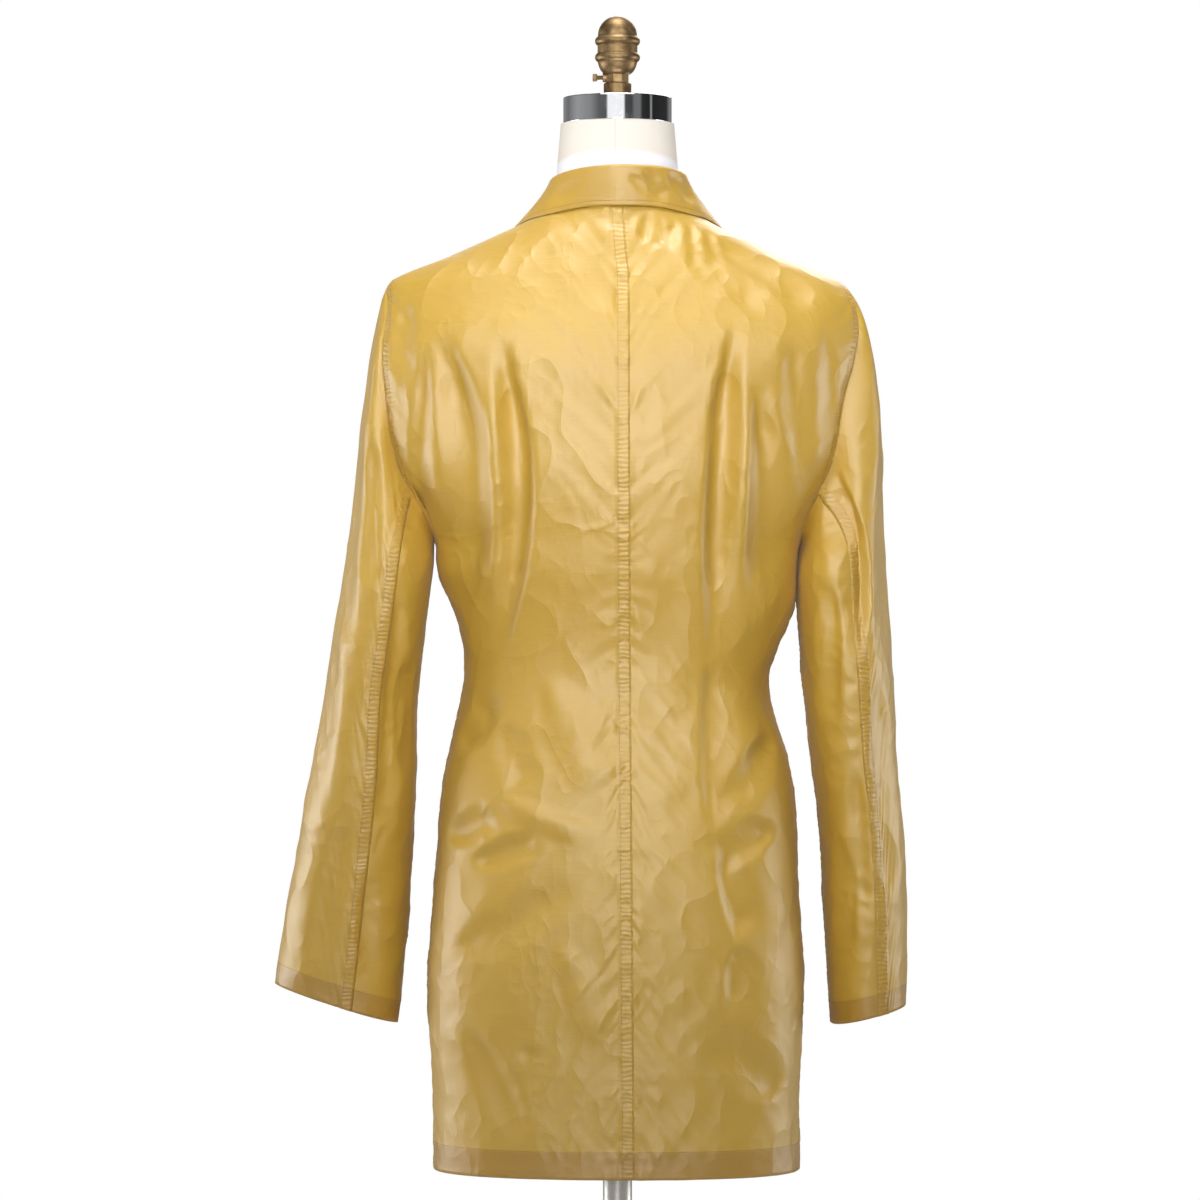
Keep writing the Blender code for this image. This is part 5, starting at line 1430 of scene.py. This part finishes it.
def make_buttons(looks, grid, normal):
    """The four buttons on the right front, each sewn with thread over its buttonhole."""
    blank = button_mesh(looks)
    points, normals = grid.reshape(-1, 3), normal.reshape(-1, 3)
    for number, z in enumerate(BUTTON_HEIGHTS, start=1):
        nearest = np.hypot(points[:, 0], points[:, 2] - z).argmin()
        out = unit(normals[nearest] * np.array([0.0, 1.0, 1.0]))
        seat = np.array([0.0, points[nearest, 1], z]) + out * (CLOTH / 2 + 0.0010)
        up = unit(np.cross(np.array([-1.0, 0.0, 0.0]), out))
        up = -up if up[2] < 0 else up
        right = np.cross(up, out)
        frame = Matrix([(*axis, 0.0) for axis in (right, up, out)]).to_3x3().transposed().to_4x4()
        piece = add_object(f"sewn_button_{number}", blank.data.copy())
        piece.matrix_world = Matrix.Translation(seat) @ frame
        settle(piece, f"button_{number}")
        bm = bmesh.new()
        top = seat + out * BUTTON_THICKNESS * BUTTON_DISH
        for offset in (-HOLE_OFFSET, HOLE_OFFSET):
            for beside in (-0.00025, 0.00025):
                start, end = (top + up * (offset + beside) + right * reach - out * 0.0006
                              for reach in (-HOLE_OFFSET, HOLE_OFFSET))
                thread_bar(bm, start, end, out * 0.0011, 0.00022)
        for turn in round_turns(8):
            foot = (right * math.cos(turn) + up * math.sin(turn)) * 0.0009
            thread_bar(bm, seat + foot - out * 0.0012, seat + foot * 0.6 + out * 0.0004,
                       unit(foot) * 0.00008, 0.0003)
        whip_buttonhole(bm, points, normals, z)
        add_trim(add_mesh(f"button_thread_{number}", bm, looks["thread"]))
    bpy.data.objects.remove(blank, do_unlink=True)


def whip_buttonhole(bm, points, normals, z):
    """The whipped edge of a level buttonhole, its outer end showing past the button."""
    for turn in round_turns(72):
        x = 0.0005 + BUTTONHOLE[0] * np.clip(1.12 * math.cos(turn), -1, 1)
        high = BUTTONHOLE[1] * np.clip(4.0 * math.sin(turn), -1, 1)
        nearest = np.hypot(points[:, 0] - x, points[:, 2] - z - high).argmin()
        out = normals[nearest]
        place = points[nearest] * np.array([0.0, 1.0, 0.0]) + np.array([x, 0.0, z + high])
        place = place + out * (CLOTH / 2 + 0.0001)
        away = np.array([0.35 * np.sign(x) * (abs(x) > 0.0105), 0.0, np.sign(high)])
        thread_bar(bm, place, place + unit(away + 1e-9) * 0.0013, out * 0.00018, 0.00016)


def make_stage():
    """The floor, and a room whose walls the object reflects while the camera sees white."""
    bm = bmesh.new()
    bmesh.ops.create_circle(bm, cap_ends=True, radius=FLOOR_RADIUS, segments=96)
    floor = add_mesh("floor", bm, new_material("floor", (0.80, 0.80, 0.79), 0.7)[0])
    floor.location = (0.0, 0.0, FLOOR_Z)
    world = bpy.data.worlds.new("studio")
    bpy.context.scene.world = world
    world.use_nodes = True
    tree = world.node_tree
    way = tree.nodes.new("ShaderNodeTexCoord").outputs["Generated"]
    split = add_node(tree, "SeparateXYZ", way).outputs
    around = calc(tree, "ARCTAN2", split["X"], split["Y"])
    walls = add_node(tree, "ValToRGB", ranged(tree, around, -math.pi, math.pi))
    ramp = walls.color_ramp
    while len(ramp.elements) < len(ROOM_WALLS):
        ramp.elements.new(0.5)
    for element, (degrees, level) in zip(ramp.elements, ROOM_WALLS):
        element.position = 0.5 + degrees / 360.0
        element.color = (level, level, level, 1.0)
    off_middle = calc(tree, "ABSOLUTE", calc(tree, "SUBTRACT", split["Z"], WALLS_MIDDLE))
    lit = tree.nodes["Background"]
    plug_all(tree, lit, Color=walls.outputs[0],
             Strength=ranged(tree, off_middle, *WALLS_FADE, 1.0, ABOVE_WALLS))
    shown = add_node(tree, "Background", Color=(1.0, 1.0, 1.0), Strength=1.0)
    seen = tree.nodes.new("ShaderNodeLightPath").outputs["Is Camera Ray"]
    either = add_node(tree, "MixShader", seen, lit.outputs[0], shown.outputs[0])
    plug_all(tree, tree.nodes["World Output"], Surface=either.outputs[0])


def area_light(name, place, aim, width, height, power, spread):
    data = bpy.data.lights.new(name, "AREA")
    data.shape = "RECTANGLE"
    data.size, data.size_y = width, height
    data.energy = power
    data.spread = math.radians(spread)
    light = add_object(name, data)
    light.location = place
    light.rotation_euler = (Vector(aim) - Vector(place)).to_track_quat("-Z", "Y").to_euler()


def make_camera():
    data = bpy.data.cameras.new("camera")
    data.sensor_width = SENSOR_WIDTH
    data.lens = SENSOR_WIDTH * CAMERA[1] / FRAME_WIDTH
    camera = add_object("camera", data)
    camera.location = CAMERA
    camera.rotation_euler = (math.pi / 2, 0.0, math.pi)
    bpy.context.scene.camera = camera


def main():
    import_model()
    make_camera()
    looks = make_materials()
    make_buttons(looks, *make_coat(looks))
    make_form(looks)
    make_finial(looks)
    make_stand(looks)
    make_stage()
    for light in LIGHTS:
        area_light(*light)
    bpy.context.scene.view_settings.view_transform = "Standard"


main()
